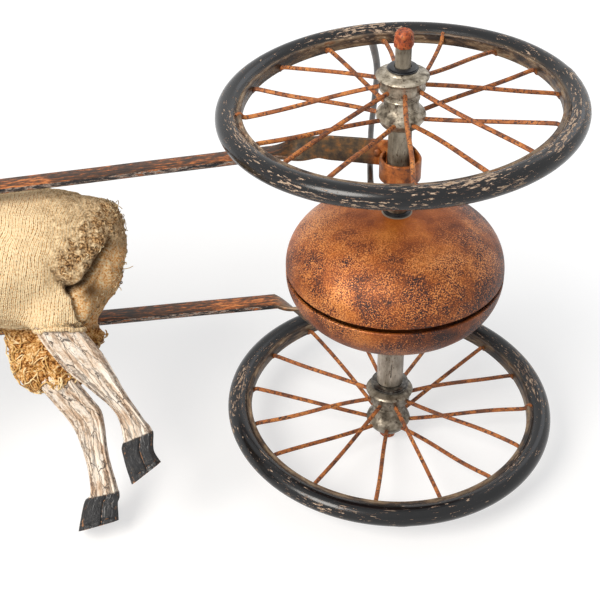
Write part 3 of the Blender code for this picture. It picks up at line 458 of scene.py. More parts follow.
def wire_outlines(points, radii, sides):
    """Round outlines of a wire, square to its path at each point."""
    outlines = []
    side = None
    for i, point in enumerate(points):
        ahead = (points[min(i + 1, len(points) - 1)] - points[max(i - 1, 0)]).normalized()
        side = (side or ahead.orthogonal())
        side = (side - ahead * side.dot(ahead)).normalized()
        other = ahead.cross(side)
        outlines.append([point + (side * math.cos(2 * math.pi * k / sides)
                                  + other * math.sin(2 * math.pi * k / sides)) * radii[i]
                         for k in range(sides)])
    return outlines


def smooth_rows(rows, steps, first_steps=None):
    """Rows of numbers with steps of a smooth curve between each two, as Vectors."""
    rows = [Vector(row) for row in rows]
    curve = []
    for i in range(len(rows) - 1):
        r0, r1, r2, r3 = rows[max(i - 1, 0)], rows[i], rows[i + 1], rows[min(i + 2, len(rows) - 1)]
        count = steps if i else first_steps or steps
        for step in range(count):
            t = step / count
            curve.append(0.5 * (2 * r1 + (r2 - r0) * t + (2 * r0 - 5 * r1 + 4 * r2 - r3) * t * t
                                + (3 * r1 - r0 - 3 * r2 + r3) * t ** 3))
    return curve + [rows[-1]]


rusted_wire = weathered("rusted_hard_wire", ("#6b432e", "#a96332", "#cb8342"), 10.0, 2.2, "#4c3028",
                        0.44, 0.66, 0.2, (1, 1, 1), 0.2, 0.1)
wire_radius = 1.6
band_radius = 15.6
hook_radius = 104.5
spoke_start = {"left": math.radians(15.5), "right": math.radians(5.0)}
# How far each spoke's rim end has drifted round the ledge, in degrees.
spoke_drift = {
    "left": (-0.3, -0.9, -1.0, -0.4, 0.3, 0.8, -1.5, -0.5,
             -2.5, -7.3, -10.6, -3.0, 1.4, 0.2, 0.2, 1.1),
    "right": (3.6, 2.5, 1.0, -0.5, -2.0, -3.5, -2.5, -1.8,
              -2.7, -5.2, -4.8, -1.3, 2.3, 4.1, 4.3, 4.4)}
upper_band, lower_band, ledge_reach = 8.5, -14.0, 107.0
hooked = {}
for hook in (1, -1):
    # In millimetres: out of the hub's band, along the wheel, and round the ledge.
    route = [(band_radius - 1.2, 0), (band_radius + 1.4, 0), (band_radius + 3.2, 0), (28, 0),
             (40, 0), (52, 0), (64, 0), (76, 0), (88, 0), (98, 0), (104, 0.2), (106.2, 1.0),
             (107.4, 2.4), (108.3, 3.4), (109.4, 3.6), (110.5, 2.6)]
    path = smooth_rows([Vector((r, 0, z * hook)) / 1000 for r, z in route], 2)
    wire = drawn("spoke_pattern", wire_outlines(path, [wire_radius / 1000] * len(path), 8))
    hooked[hook] = wire.data
    bpy.data.objects.remove(wire, do_unlink=True)
bends = random.Random(23)
for side, body in wheels:
    for i in range(16):
        turn = spoke_start[side] + 2 * math.pi * i / 16
        upper = (i % 2 == 1) == (side == "left")
        band = upper_band if upper else lower_band
        way = Vector((math.cos(turn), math.sin(turn), 0))
        across = Vector((-way.y, way.x, 0))
        drift = math.radians(spoke_drift[side][i])
        at_ledge = rim_tilt[side] @ (Matrix.Rotation(drift, 3, "Z") @ way * ledge_reach)
        ledge = at_ledge.z + rim_level[side] - hub_level[side]
        mesh = hooked[1 if bends.random() < 0.15 else -1].copy()
        sway = [bends.uniform(-1, 1) for _ in range(4)]
        twist = bends.uniform(-0.35, 0.35)
        for vertex in mesh.vertices:
            reach, side_step, lift = vertex.co * 1000
            share = min(max((reach - band_radius) / (hook_radius - band_radius), 0.0), 1.0)
            bow = math.sin(math.pi * share)
            bow_two = math.sin(2 * math.pi * share)
            side_step += bow * sway[0] * 0.9 + bow_two * sway[1] * 0.7
            lift += band + (ledge - band) * share + bow * sway[2] * 0.9 + bow_two * sway[3] * 0.6
            if reach > hook_radius:
                side_step += (reach - hook_radius) * twist
            level = hub_level[side] + lift
            # A straight wire to a drifted rim end leaves the hub end's turn little by little.
            swung = Matrix.Rotation(drift * share * hook_radius / max(reach, band_radius), 3, "Z")
            vertex.co = (swung @ (way * reach + across * side_step) + Vector((0, 0, level))) / 1000
        name = "%s_spoke_%02d" % (side, i + 1)
        wire = bpy.data.objects.new("hooked_" + name, mesh)
        mesh.name = "hooked_" + name
        bpy.context.collection.objects.link(wire)
        dress(wire, body, rusted_wire, "rusty_wire", name)

# Bell. Two bowls spun from sheet steel that face each other across a narrow gap, each
# with a striking lug inside its mouth. Rusted all over, smoother round the crown.
bell_level = 161.5
bell_radius, bell_height, bell_wall, bell_gap, bell_power = 79.0, 47.5, 2.5, 2.1, 2.3
lug_size = (0.0080, 0.0170, 0.0088)


def bowl_radius(radius, height, level):
    """Radius of a bowl at a height over its middle."""
    return radius * max(0.0, 1 - (level / height) ** bell_power) ** (1 / bell_power)


def joined(main, *others):
    """Join other pieces into a main one, which keeps its name."""
    chosen(main, *others)
    bpy.ops.object.join()


gong_rust, tree, shader, place = begin("rusted_spun_steel")
patches = add(tree, "TexNoise", place, 1000 / 30, 5.0, 0.6)
tone = add(tree, "ValToRGB", patches,
           stops=[(0.38, "#8c4410"), (0.46, "#a85512"), (0.54, "#b86214"), (0.62, "#ca7626")])
fine = add(tree, "TexNoise", place, 1000 / 0.92, 2.5, 0.6)
# Its side away from the shafts and from the key lamp is painted darker, as more pits: painted
# shade.
spot = add(tree, "SeparateXYZ", place)
far_side_painted_shade = add(tree, "MapRange", spot.outputs[0], -0.03, 0.06, -0.265, -0.325)
mottle = add(tree, "Math", patches, 0.55, far_side_painted_shade, operation="MULTIPLY_ADD")
mottle = add(tree, "Math", mottle, fine, operation="ADD")
# The lower gong, which faces down towards the table, is painted darker: painted shade.
lower_gong_painted_shade = add(tree, "MapRange", spot.outputs[2], 0.1595, 0.162, -0.022, 0.0)
mottle = add(tree, "Math", mottle, lower_gong_painted_shade, operation="ADD")
pitting = add(tree, "ValToRGB", mottle,
              stops=[(0.42, "#21120f"), (0.462, "#56291a"), (0.502, "#914820"), (0.545, "#ae5c28"),
                     (0.6, "#dc9250")])
shift = add(tree, "MapRange", add(tree, "TexNoise", place, 1000 / 22, 3.0, 0.6), 0.38, 0.58, 0.45,
            1.0)
flat = add(tree, "CombineXYZ", spot.outputs[0], spot.outputs[1])
from_axle = add(tree, "VectorMath", flat, operation="LENGTH")
rough_skin = add(tree, "MapRange", from_axle, 0.022, 0.055, 0.2, 1.0)
depth = add(tree, "Math", rough_skin, shift, operation="MULTIPLY")
speckled = add(tree, "Mix", depth, tone, pitting, data_type="RGBA")
# A narrow ring round the washer is bare.
ring = add(tree, "MapRange", from_axle, 0.0106, 0.011, 1.0, 0.0)
speckled = add(tree, "Mix", ring, speckled, "#a39c8e", data_type="RGBA")
bump = add(tree, "Bump", {"Strength": 0.8, "Distance": 0.0005, "Height": fine})
skin = add(tree, "MapRange", patches, 0.35, 0.65, 0.56, 0.36)
connect(tree, shader, {"Base Color": speckled, "Metallic": 0.3, "Roughness": skin, "Normal": bump})

for side, way in (("left", 1), ("right", -1)):
    outline = [(bell_radius - bell_wall, bell_gap + 0.7), (bell_radius - bell_wall + 0.5, bell_gap),
               (bell_radius - 0.6, bell_gap), (bell_radius - 0.1, bell_gap + 0.5)]
    for i in range(1, 24):
        level = bell_gap + 0.4 + (bell_height - bell_gap - 0.4) * math.sin(math.pi / 2 * i / 23)
        outline.append((max(bowl_radius(bell_radius, bell_height, level), 12.5), level))
    outline += [(5.7, bell_height), (5.7, bell_height - bell_wall)]
    inner_height = bell_height - bell_wall
    for i in range(20, 0, -1):
        level = bell_gap + 0.7 + (inner_height - bell_gap - 0.7) * math.sin(math.pi / 2 * i / 20)
        outline.append((max(bowl_radius(bell_radius - bell_wall, inner_height, level), 12.5),
                        level))
    gong = turned(side + "_spun_gong", [(r, bell_level + way * z) for r, z in outline], 144)
    for vertex in gong.data.vertices:
        vertex.co *= 1 + 0.0035 * noise.noise(vertex.co * 26 + Vector((way, 0, 0))) * (
            vertex.co.xy.length > 0.02)
    bpy.ops.object.select_all(action="DESELECT")
    bpy.ops.mesh.primitive_cube_add(size=1.0, location=(0, 0.0675, (bell_level + way * 7.0) / 1000))
    lug = bpy.context.active_object
    lug.scale = lug_size
    bpy.ops.object.transform_apply(location=True, rotation=True, scale=True)
    bpy.ops.object.mode_set(mode="EDIT")
    bpy.ops.mesh.bevel(offset=0.0012, segments=3, affect="EDGES")
    bpy.ops.object.mode_set(mode="OBJECT")
    joined(gong, lug)
    dress(gong, "wheelset", gong_rust, "rusty_gong", side + "_gong")

# Clapper. A cast iron collar that swings on the spacer, with a round arm and a ball.
cast_iron = weathered("rusted_cast_iron", ("#3c2a20", "#5d4030", "#7b5238"), 6.0, 1.4, "#241812",
                      0.42, 0.6, 0.5, depth=0.2)
collar = turned("clapper_collar", [(r, bell_level + z)
                                   for r, z in barrel(9.4, 13.0, -5.0, 5.0, 1.0)], 48)
arm_path = [Vector((0, -r / 1000, bell_level / 1000)) for r in (11.5, 16, 22, 30, 38, 46, 52, 55)]
arm_radii = [r / 1000 for r in (3.4, 2.7, 2.4, 2.3, 2.3, 2.4, 2.9, 3.6)]
arm = drawn("clapper_arm", wire_outlines(arm_path, arm_radii, 14))
bpy.ops.object.select_all(action="DESELECT")
bpy.ops.mesh.primitive_uv_sphere_add(segments=28, ring_count=18, radius=0.0070,
                                     location=(0, -0.060, bell_level / 1000))
ball = bpy.context.active_object
bpy.ops.object.transform_apply(location=True)
bpy.ops.object.shade_smooth()
for vertex in ball.data.vertices:
    vertex.co.z += 0.0003 * noise.noise(vertex.co * 300)
joined(collar, arm, ball)
dress(collar, "clapper", cast_iron, "clapper_iron", "clapper")

# Shafts. Two flat steel bars on edge that turn a quarter twist behind the goat, where they
# are beaten thinner into straps and bent round the sleeves. Rusted in streaks over scale.
def bar_outline(centre, across, along, width, thickness, corner):
    """A flat bar's outline in millimetres, with its corners worn round."""
    a, b = width / 2, thickness / 2
    c = min(corner, b * 0.85)
    outline = []
    for x, y, start in ((a - c, b - c, 0), (c - a, b - c, 90), (c - a, c - b, 180),
                        (a - c, c - b, 270)):
        for step in range(4):
            turn = math.radians(start + 30 * step)
            outline.append((centre + across * (x + c * math.cos(turn))
                            + along * (y + c * math.sin(turn))) / 1000)
    return outline


frame_middle = 174.2
shaft_height = 45.5
shaft_width, shaft_thickness = 15.2, 4.2
shaft_front, twist_start, twist_end = -470.0, -80.0, -50.0
strap_width, strap_thickness, strap_shoulder = 20.6, 2.2, 3.0
strap_drop, strap_offset, strap_radius = 15.5, 75.3, 14.5


def riveted(bar, radius, heads):
    """Join domed rivet heads to a bar: each is a place in millimetres and the way it faces."""
    for place, outward in heads:
        bpy.ops.object.select_all(action="DESELECT")
        bpy.ops.mesh.primitive_uv_sphere_add(segments=20, ring_count=10, radius=radius)
        head = bpy.context.active_object
        for vertex in head.data.vertices:
            vertex.co.z *= 0.5
        head.data.transform(Vector((0, 0, 1)).rotation_difference(outward).to_matrix().to_4x4())
        head.data.transform(Matrix.Translation(place / 1000))
        bpy.ops.object.shade_smooth()
        joined(bar, head)


def shaft_spread(x):
    """Half of the distance between the shafts, which come closer towards the front."""
    return 67.3 + 0.026 * x


# Hot rolled bar, rusted: long streaks of bright orange and of dark scale on its faces, and
# glossy black with rust showing through on its narrow edges, with a painted reflection of pale
# grey.
flat_bar, tree, shader, place = begin("rusted_hot_rolled_bar")
spot = add(tree, "SeparateXYZ", place)
streaks = add(tree, "Mapping", {"Vector": place, "Scale": (0.2, 1.0, 1.0)})
streak = add(tree, "TexNoise", streaks, 1000 / 1.7, 6.0, 0.7)
patches = add(tree, "TexNoise", add(tree, "Mapping", {"Vector": place, "Scale": (0.5, 1, 1)}),
              1000 / 26, 3.0, 0.6)
mix = add(tree, "Math", patches, 0.5, -0.25, operation="MULTIPLY_ADD")
mix = add(tree, "Math", mix, streak, operation="ADD")
face = add(tree, "ValToRGB", mix,
           stops=[(0.38, "#26180f"), (0.47, "#4a2e19"), (0.545, "#6d4120"), (0.6, "#b2612a"),
                  (0.67, "#d6894a")])
# Narrow edges: dark scale and rust, and a pale grey band that is a painted reflection.
edge = add(tree, "ValToRGB", streak,
           stops=[(0.38, "#0f1114"), (0.46, "#241c1a"), (0.51, "#5d4c42"), (0.545, "#b3a598"),
                  (0.58, "#5f3a24"), (0.65, "#b2662e")])
olive = add(tree, "ValToRGB", add(tree, "TexNoise", place, 1000 / 7, 6.0, 0.65),
            stops=[(0.36, "#2d2318"), (0.47, "#4a3a26"), (0.56, "#63492b"), (0.64, "#8a5a2a")])
ring_rust = add(tree, "ValToRGB", add(tree, "TexNoise", place, 1000 / 5, 6.0, 0.65),
                stops=[(0.36, "#5b3017"), (0.46, "#94501f"), (0.56, "#b5652a"), (0.68, "#c98a4c")])
facing = add(tree, "SeparateXYZ", tree.nodes["Texture Coordinate"].outputs["Normal"])
narrow = add(tree, "Math", facing.outputs[1], operation="ABSOLUTE")
straight = add(tree, "MapRange", spot.outputs[0], -0.084, -0.072, 1.0, 0.0)
edge_share = add(tree, "MapRange", narrow, 0.45, 0.7)
edge_share = add(tree, "Math", edge_share, straight, operation="MULTIPLY")
body_tone = add(tree, "Mix", edge_share, face, edge, data_type="RGBA")
strap_share = add(tree, "MapRange", spot.outputs[0], -0.084, -0.064)
ring_share = add(tree, "MapRange", spot.outputs[0], -0.019, -0.011)
bent = add(tree, "Mix", ring_share, olive, ring_rust, data_type="RGBA")
whole = add(tree, "Mix", strap_share, body_tone, bent, data_type="RGBA")
# The straps' thin edges are painted paler: a painted highlight along them.
off_middle = add(tree, "Math", spot.outputs[2], -frame_middle / 1000, operation="ADD")
off_middle = add(tree, "Math", off_middle, operation="ABSOLUTE")
off_strap = add(tree, "Math", off_middle, -strap_offset / 1000, operation="ADD")
off_strap = add(tree, "Math", off_strap, operation="ABSOLUTE")
strap_edge_highlight = add(tree, "MapRange", off_strap, 0.0099, 0.0102, 0.0, 0.75)
strap_edge_highlight = add(tree, "Math", strap_edge_highlight, strap_share, operation="MULTIPLY")
whole = add(tree, "Mix", strap_edge_highlight, whole, "#a58c70", data_type="RGBA")
gloss = add(tree, "MapRange", edge_share, 0, 1, 0.42, 0.2)
bump = add(tree, "Bump", {"Strength": 0.6, "Distance": 0.0003, "Height": mix})
connect(tree, shader, {"Base Color": whole, "Roughness": gloss, "Metallic": 0.25, "Normal": bump})

for name, side, sleeve in (("left_shaft", 1, 8.1), ("right_shaft", -1, 10.0)):
    up, out = Vector((0, 1, 0)), Vector((0, 0, side))
    level = frame_middle + side * strap_offset
    outlines = []
    for i in range(27):
        x = shaft_front + (twist_start - shaft_front) * i / 26
        middle = Vector((x, shaft_height, frame_middle + side * shaft_spread(x)))
        if 0 < i < 26:
            middle += Vector((0, noise.noise(middle * 0.02),
                              noise.noise(middle * 0.017 + out))) * 0.35
        outlines.append(bar_outline(middle, up, out, shaft_width, shaft_thickness, 1.3))
    first = Vector((twist_start, shaft_height, frame_middle + side * shaft_spread(twist_start)))
    start = Vector((twist_end, shaft_height - strap_drop, level))
    for i in range(1, 17):
        t = i / 16
        turn = math.pi / 2 * (3 * t * t - 2 * t * t * t)
        across = up * math.cos(turn) + out * math.sin(turn)
        along = out * math.cos(turn) - up * math.sin(turn)
        outlines.append(bar_outline(first.lerp(start, t), across, along,
                                    shaft_width + (strap_width - strap_shoulder - shaft_width) * t,
                                    shaft_thickness + (strap_thickness - shaft_thickness) * t, 1.3))
    ring_radius = strap_radius - strap_thickness / 2
    sag = strap_radius - strap_thickness - sleeve - 0.3
    ring_middle = Vector((0, -sag, level))
    flat_way = (start - ring_middle).xy
    tangent = math.atan2(flat_way.y, flat_way.x) - math.acos(ring_radius / flat_way.length)
    touch = ring_middle + Vector((math.cos(tangent), math.sin(tangent), 0)) * ring_radius
    for i in range(1, 8):
        t = i / 8
        away = Vector((math.cos(tangent), math.sin(tangent), 0))
        lift = away * 0.5 * math.sin(math.pi * t)
        outlines.append(bar_outline(start.lerp(touch, t) + lift, out, -away,
                                    strap_width * (0.93 + 0.07 * t), strap_thickness, 0.9))
    for i in range(41):
        turn = tangent - math.radians(300) * i / 40
        away = Vector((math.cos(turn), math.sin(turn), 0))
        # The wrap is narrower than the plate, by what is missing on its outer side.
        narrow = 4.8 * math.sin(min(i / 9, 1.0) * math.pi / 2) ** 2
        outlines.append(bar_outline(ring_middle + away * ring_radius - out * narrow / 2, out, -away,
                                    strap_width - narrow, strap_thickness, 0.9))
    shaft = drawn("flat_bar_" + name, outlines)
    # A rivet closes the strap beside the ring, and sits on its plate.
    plate = touch.lerp(start, 0.30)
    outward = Vector((math.cos(tangent), math.sin(tangent), 0))
    riveted(shaft, 0.0032, [(plate + outward * way, outward) for way in (1, -1)])
    dress(shaft, "frame", flat_bar, "rusty_frame", name)

# Stay rod. Dark drawn steel, a little thicker towards its upper end.
rod_steel = weathered("dark_drawn_rod", ("#191512", "#332d28", "#544d46"), 8.0, 1.4, "#4a3020",
                      0.42, 0.38, 0.1, (1, 0.4, 1), 0.06, 0.1)
stay_level = frame_middle + strap_offset - strap_width / 2 - 0.3 - 2.2
stay_path = smooth_rows([Vector((x, y, stay_level)) / 1000 for x, y in (
    (-20.4, -3.0), (-14.5, 23.6), (-3.1, 69.6), (8.2, 108.1), (24.2, 165.8), (31.0, 212.0))], 8)
stay_radii = []
for i in range(len(stay_path)):
    t = i / (len(stay_path) - 1)
    stay_radii.append((2.0 + 1.4 * t ** 3 + 0.2 * (1 - t) ** 4) / 1000)
dress(drawn("drawn_stay_rod", wire_outlines(stay_path, stay_radii, 20)), "frame", rod_steel,
      "dark_rod", "stay_rod")

# Breast yoke. A flat bar bent at both ends and riveted inside the shafts.
yoke_width, yoke_thickness, yoke_gap, yoke_bend = 15.0, 4.0, 0.4, 9.0
yoke_front = shaft_front + 2.0
yoke_back = yoke_front + 26.0
yoke_outlines = []
for side in (1, -1):
    inset = side * (shaft_thickness / 2 + yoke_gap + yoke_thickness / 2)
    inner = side * shaft_spread(yoke_front) - inset
    rows = [(yoke_back, side * shaft_spread(yoke_back) - inset, 0.0)]
    for i in range(15):
        turn = math.pi / 2 * i / 14
        rows.append((yoke_front + yoke_bend * (1 - math.sin(turn)),
                     inner - side * yoke_bend * (1 - math.cos(turn)), turn))
    rows.append((yoke_front + 0.2, side * 18.0, math.pi / 2))
    if side == -1:
        rows.reverse()
    for x, z, turn in rows:
        outward = Vector((-math.sin(turn), 0, side * math.cos(turn)))
        yoke_outlines.append(bar_outline(Vector((x, shaft_height, frame_middle + z)),
                                         Vector((0, 1, 0)), outward, yoke_width, yoke_thickness,
                                         1.2))
yoke = drawn("bent_breast_yoke", yoke_outlines)
rivet_x = -455
spread_there = shaft_spread(rivet_x)
for side in (1, -1):
    places = [Vector((rivet_x, shaft_height, frame_middle + side * away))
              for away in (spread_there + 2.0, spread_there - 6.4)]
    riveted(yoke, 0.0040, [(place, Vector((0, 0, 1))) for place in places])
dress(yoke, "frame", flat_bar, "rusty_frame", "breast_yoke")

# Eye bolt. Forged steel: a ring for a cord, a collar that bears on the yoke, and a round
# shank through it into the goat's breast, all of one piece.
forged_steel = weathered("forged_steel", ("#4c443d", "#6f675e", "#8f877c"), 5.0, 1.2, "#6b3f22",
                         0.44, 0.42, 0.75, depth=0.12, shine=0.1)
shank_middle = Vector((0, shaft_height, frame_middle))
shank = [(-475.6, 2.0), (-473.2, 3.4), (-473.0, 6.3), (-472.0, 6.6), (-471.0, 6.5), (-470.3, 6.2),
         (-470.1, 3.0), (-460, 3.0), (-450, 3.0), (-440, 3.0), (-430, 3.0), (-422.2, 2.9),
         (-421.2, 2.2)]
shank_path = [(shank_middle + Vector((x, 0, 0))) / 1000 for x, r in shank]
eye_bolt = drawn("forged_eye_bolt", wire_outlines(shank_path, [r / 1000 for x, r in shank], 32))
bpy.ops.object.select_all(action="DESELECT")
bpy.ops.mesh.primitive_torus_add(major_radius=0.0085, minor_radius=0.0025, major_segments=48,
                                 minor_segments=20, location=(shank_middle + Vector((-481.8, 0, 0)))
                                 / 1000)
eye_ring = bpy.context.active_object
bpy.ops.object.transform_apply(location=True)
joined(eye_bolt, eye_ring)
applied(eye_bolt, "REMESH", mode="VOXEL", voxel_size=0.0004)
applied(eye_bolt, "SMOOTH", factor=0.5, iterations=3)
bpy.ops.object.shade_smooth()
dress(eye_bolt, "frame", forged_steel, "eye_steel", "eye_bolt")

# Goat's body. Knitted cloth, once cream, sewn round a stuffing with two cloth legs on each
# side. It is rubbed grey at the rump, where its edges have frayed and folded over. Painted shade
# darkens its top and its creases.
goat_roll = math.radians(50)
goat_place = (Matrix.Translation((0, shaft_height / 1000, frame_middle / 1000))
              @ Matrix.Rotation(goat_roll, 4, "X"))
goat_inverse = goat_place.inverted()
focal_pixels = camera_lens.lens / camera_lens.sensor_width * 600


def on_goat(u, v, side):
    """Where pixel (u, v) of the photograph lies on the goat, at a distance to its left.

    The goat's own millimetres are x along the toy, h up from its pivot and s to its left.
    """
    ray = look_ahead + look_right * (u - 300) / focal_pixels - look_up * (v - 300) / focal_pixels
    start = goat_inverse @ camera.matrix_world.translation
    way = goat_inverse.to_3x3() @ ray
    return (start + way * (side / 1000 - start.z) / way.z) * 1000


def soft_step(value, low, high):
    """0 below low, 1 above high and a smooth ramp between them, either way round."""
    share = min(max((value - low) / (high - low), 0.0), 1.0)
    return share * share * (3 - 2 * share)


def off_line(x, h, line):
    """How far a point is from a line of points, 1 on its left or -1, and the share along it."""
    best = (1e9, 0.0, 0.0)
    for i in range(len(line) - 1):
        ax, ah = line[i].x, line[i].y
        dx, dh = line[i + 1].x - ax, line[i + 1].y - ah
        share = min(max(((x - ax) * dx + (h - ah) * dh) / (dx * dx + dh * dh), 0.0), 1.0)
        away = math.hypot(x - ax - dx * share, h - ah - dh * share)
        if away < best[0]:
            turn = (x - ax) * dh - (h - ah) * dx
            best = (away, 1.0 if turn < 0 else -1.0, (i + share) / (len(line) - 1))
    return best


def stuffed(piece, pressure, most):
    """Blow a closed cloth piece up with Cloth, so that no point moves by more than most."""
    before = [vertex.co.copy() for vertex in piece.data.vertices]
    cloth = piece.modifiers.new("cloth", "CLOTH")
    cloth.settings.use_pressure = True
    cloth.settings.uniform_pressure_force = pressure
    cloth.settings.effector_weights.gravity = 0
    cloth.settings.tension_stiffness = 30
    cloth.settings.bending_stiffness = 0.6
    for step in range(1, 21):
        bpy.context.scene.frame_set(step)
    bpy.context.view_layer.objects.active = piece
    bpy.ops.object.modifier_apply(modifier=cloth.name)
    bpy.context.scene.frame_set(1)
    for vertex, place in zip(piece.data.vertices, before):
        move = vertex.co - place
        if move.length > most:
            vertex.co = place + move * (most / move.length)


coat = bpy.data.objects.new("stuffed_knitted_body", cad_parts["goat_body"].data.copy())
coat.data.name = "stuffed_knitted_body"
bpy.context.collection.objects.link(coat)
chosen(coat)
bpy.ops.object.mode_set(mode="EDIT")
bpy.ops.mesh.select_all(action="SELECT")
bpy.ops.mesh.remove_doubles(threshold=1e-5)
bpy.ops.object.mode_set(mode="OBJECT")
applied(coat, "REMESH", mode="VOXEL", voxel_size=0.0044)
applied(coat, "SMOOTH", factor=0.5, iterations=5)
stuffed(coat, 4.0, 0.004)
applied(coat, "SUBSURF", levels=2, render_levels=2)

# Lines of the coat, by pixels of the photograph, on the side that it shows.
cleft = [on_goat(u, v, 36) for u, v in ((115, 233), (110, 243), (101, 256), (92, 269), (82, 281),
                                        (71, 292))]
under_rump = [on_goat(u, v, 34) for u, v in ((72, 291), (66, 286), (59, 279), (53, 270), (48, 262))]
haunch_edge = [on_goat(u, v, 34) for u, v in ((70, 293), (72, 302), (75, 311), (79, 318),
                                              (85, 327))]
marks = {"crease_shade_and_matting": [], "rubbed_grey_and_top_shade": [], "felt": [], "gold": [], "dark_brown_and_cleft_shade": [], "knit": []}
dark_brown_spot = on_goat(87, 292, 30)
matted_line = [on_goat(u, v, 36) for u, v in ((112, 212), (102, 226), (92, 244), (80, 262),
                                              (66, 275))]
withers = Vector((-0.421, 0.0993, 0.1896))
turned_back = goat_inverse.to_3x3()
outward = [vertex.normal.copy() for vertex in coat.data.vertices]
for vertex, way_out in zip(coat.data.vertices, outward):
    x, h, s = goat_inverse @ vertex.co * 1000
    normal = turned_back @ way_out
    beside = soft_step(abs(s), 7, 20)
    away, way, share = off_line(x, h, cleft)
    fade = soft_step(share, 0.0, 0.25) * beside
    cut = math.exp(-(away / 2.0) ** 2) * fade
    push = -8.5 * cut
    push += ((2.6 if way < 0 else -3.4) * math.exp(-((away - 6) / 4.5) ** 2) * fade
             * soft_step(share, 1.0, 0.84))
    away_two, way_two, share_two = off_line(x, h, under_rump)
    fade_two = (1 - share_two) * beside * soft_step(normal.z * (1 if s > 0 else -1), 0.1, 0.5)
    cut_two = math.exp(-(away_two / 2.4) ** 2) * fade_two
    push -= 5.5 * cut_two
    push += (2.4 if way_two < 0 else -0.5) * math.exp(-((away_two - 6) / 5) ** 2) * fade_two
    away_three, way_three, share_three = off_line(x, h, haunch_edge)
    fade_three = beside * (s > 0) * soft_step(share_three, 0.0, 0.12)
    push += (1.6 if way_three < 0 else -2.6) * math.exp(-(away_three / 4.5) ** 2) * fade_three
    cut_three = math.exp(-((away_three - 1.2) / 1.2) ** 2) * fade_three * (way_three > 0)
    cut_three *= soft_step(share_three, 1.0, 0.85)
    place = Vector((x, h, s))
    lining = -44 - 7 * soft_step(x, -242, -230)
    gold = soft_step(h, lining, lining - 7) * soft_step(s, 8, -2) * soft_step(x, -320, -300)
    off_matted = off_line(x, h, matted_line)[0]
    rump = soft_step(x, -262, -228) * soft_step(h, -34, -18)
    rump *= 0.50 + 0.50 * soft_step(off_matted, 19, 7)
    # The top of the body is painted greyer: painted shade.
    top_painted_shade = soft_step(h, 20, 44)
    push += 4.4 * soft_step(h, 18, 44) * soft_step(x, -215, -245)
    lumps = 1.3 * noise.noise(place * 0.045) + 0.8 * noise.noise(place * 0.11)
    lumps += (0.35 + 0.7 * rump + 1.3 * gold) * noise.noise(place * 0.26)
    lumps += (0.12 + 0.25 * rump + 0.5 * gold) * noise.noise(place * 0.70)
    push += lumps - 0.6 + 1.6 * gold * soft_step(h, -60, -84)
    # Its withers are pressed flat, where they meet the right shaft when the goat rolls over.
    pressed = (vertex.co - withers) * 1000
    push -= 2.6 * math.exp(-(pressed.x / 24) ** 2 - (pressed.yz.length / 13) ** 2)
    vertex.co += way_out * push / 1000
    # The lining hangs out further towards the front than the stuffing under it.
    drop, back = 0.0, 6.5 * soft_step(x, -232, -214) * math.exp(-((h + 34) / 17) ** 2)
    if s > 4:
        drop = 4.5 * soft_step(h, -34, -50) * soft_step(x, -285, -262) * soft_step(x, -200, -215)
    if s < 2:
        drop = 5.0 * soft_step(h, -68, -88)
    if s < 6:
        back += 10.0 * math.exp(-((h + 63) / 8.5) ** 2) * soft_step(x, -242, -222)
    vertex.co += goat_place.to_3x3() @ Vector((back, -drop, 0)) / 1000
    if s < 8 and h < -38 and -300 < x < -255:
        hollow = soft_step(x, -255, -270) * soft_step(h, -38, -46) * soft_step(h, -96, -80)
        vertex.co.x -= 0.010 * hollow
    behind = (way > 0) * soft_step(away, 0.0, 1.5) * soft_step(x, -250, -238)
    behind *= 1 - (way_three < 0) * soft_step(h, cleft[-1].y + 3, cleft[-1].y)
    lower = (way_three > 0) * soft_step(x, -250, -240) * soft_step(h, -18, -30)
    felt = max(behind * soft_step(h, 6, -6), lower) * (1 - gold)
    lobe = (way < 0) * math.exp(-(away / 13) ** 2) * soft_step(share, 0.1, 0.5) * beside
    lobe *= 0.85 * soft_step(noise.noise(place * 0.16), -0.5, 0.3)
    lobe_edge = lobe * (way_two < 0 or share < 0.95)
    # Painted shade in the cleft and the other cuts, and the matted lobe's darker wool.
    marks["crease_shade_and_matting"].append(min(1.0, cut + cut_two + 0.8 * cut_three + lobe_edge))
    # The flap behind the cleft turns dark brown: painted shade along the cleft, and a spot and its
    # upper part darker.
    in_plane = math.hypot(x - dark_brown_spot.x, h - dark_brown_spot.y)
    marks["dark_brown_and_cleft_shade"].append(felt * min(1.0, 0.75 * math.exp(-(away / 2.4) ** 2) * fade
                                     + 0.95 * math.exp(-(in_plane / 5.5) ** 2)
                                     + 0.75 * soft_step(h, -8, 6)))
    marks["rubbed_grey_and_top_shade"].append(min(1.0, 0.95 * rump * (1 - felt) + 0.22 * top_painted_shade + 0.7 * lobe))
    marks["felt"].append(felt)
    marks["gold"].append(gold)
    # Wales run round the body, so one coordinate goes along it and one round it.
    round_body = 45 * math.acos(min(1.0, h / math.hypot(h, s))) if h > 0 else 70.7 - h
    lean = 0.26 * round_body + 4.0 * noise.noise(place * 0.018)
    sway = 2.6 * noise.noise(place * 0.05) + 1.0 * noise.noise(place * 0.13)
    marks["knit"].append((x + lean + sway, round_body + 3.0 * noise.noise(place * 0.04), 0.0))


def marked(mesh, values):
    """Store a number or a vector for each point of a mesh, for its material to read."""
    for mark, numbers in values.items():
        several = isinstance(numbers[0], tuple)
        stored = mesh.attributes.new(mark, "FLOAT_VECTOR" if several else "FLOAT", "POINT")
        stored.data.foreach_set("vector" if several else "value",
                                [part for number in numbers for part in number] if several
                                else numbers)


marked(coat.data, marks)
bpy.ops.object.shade_smooth()
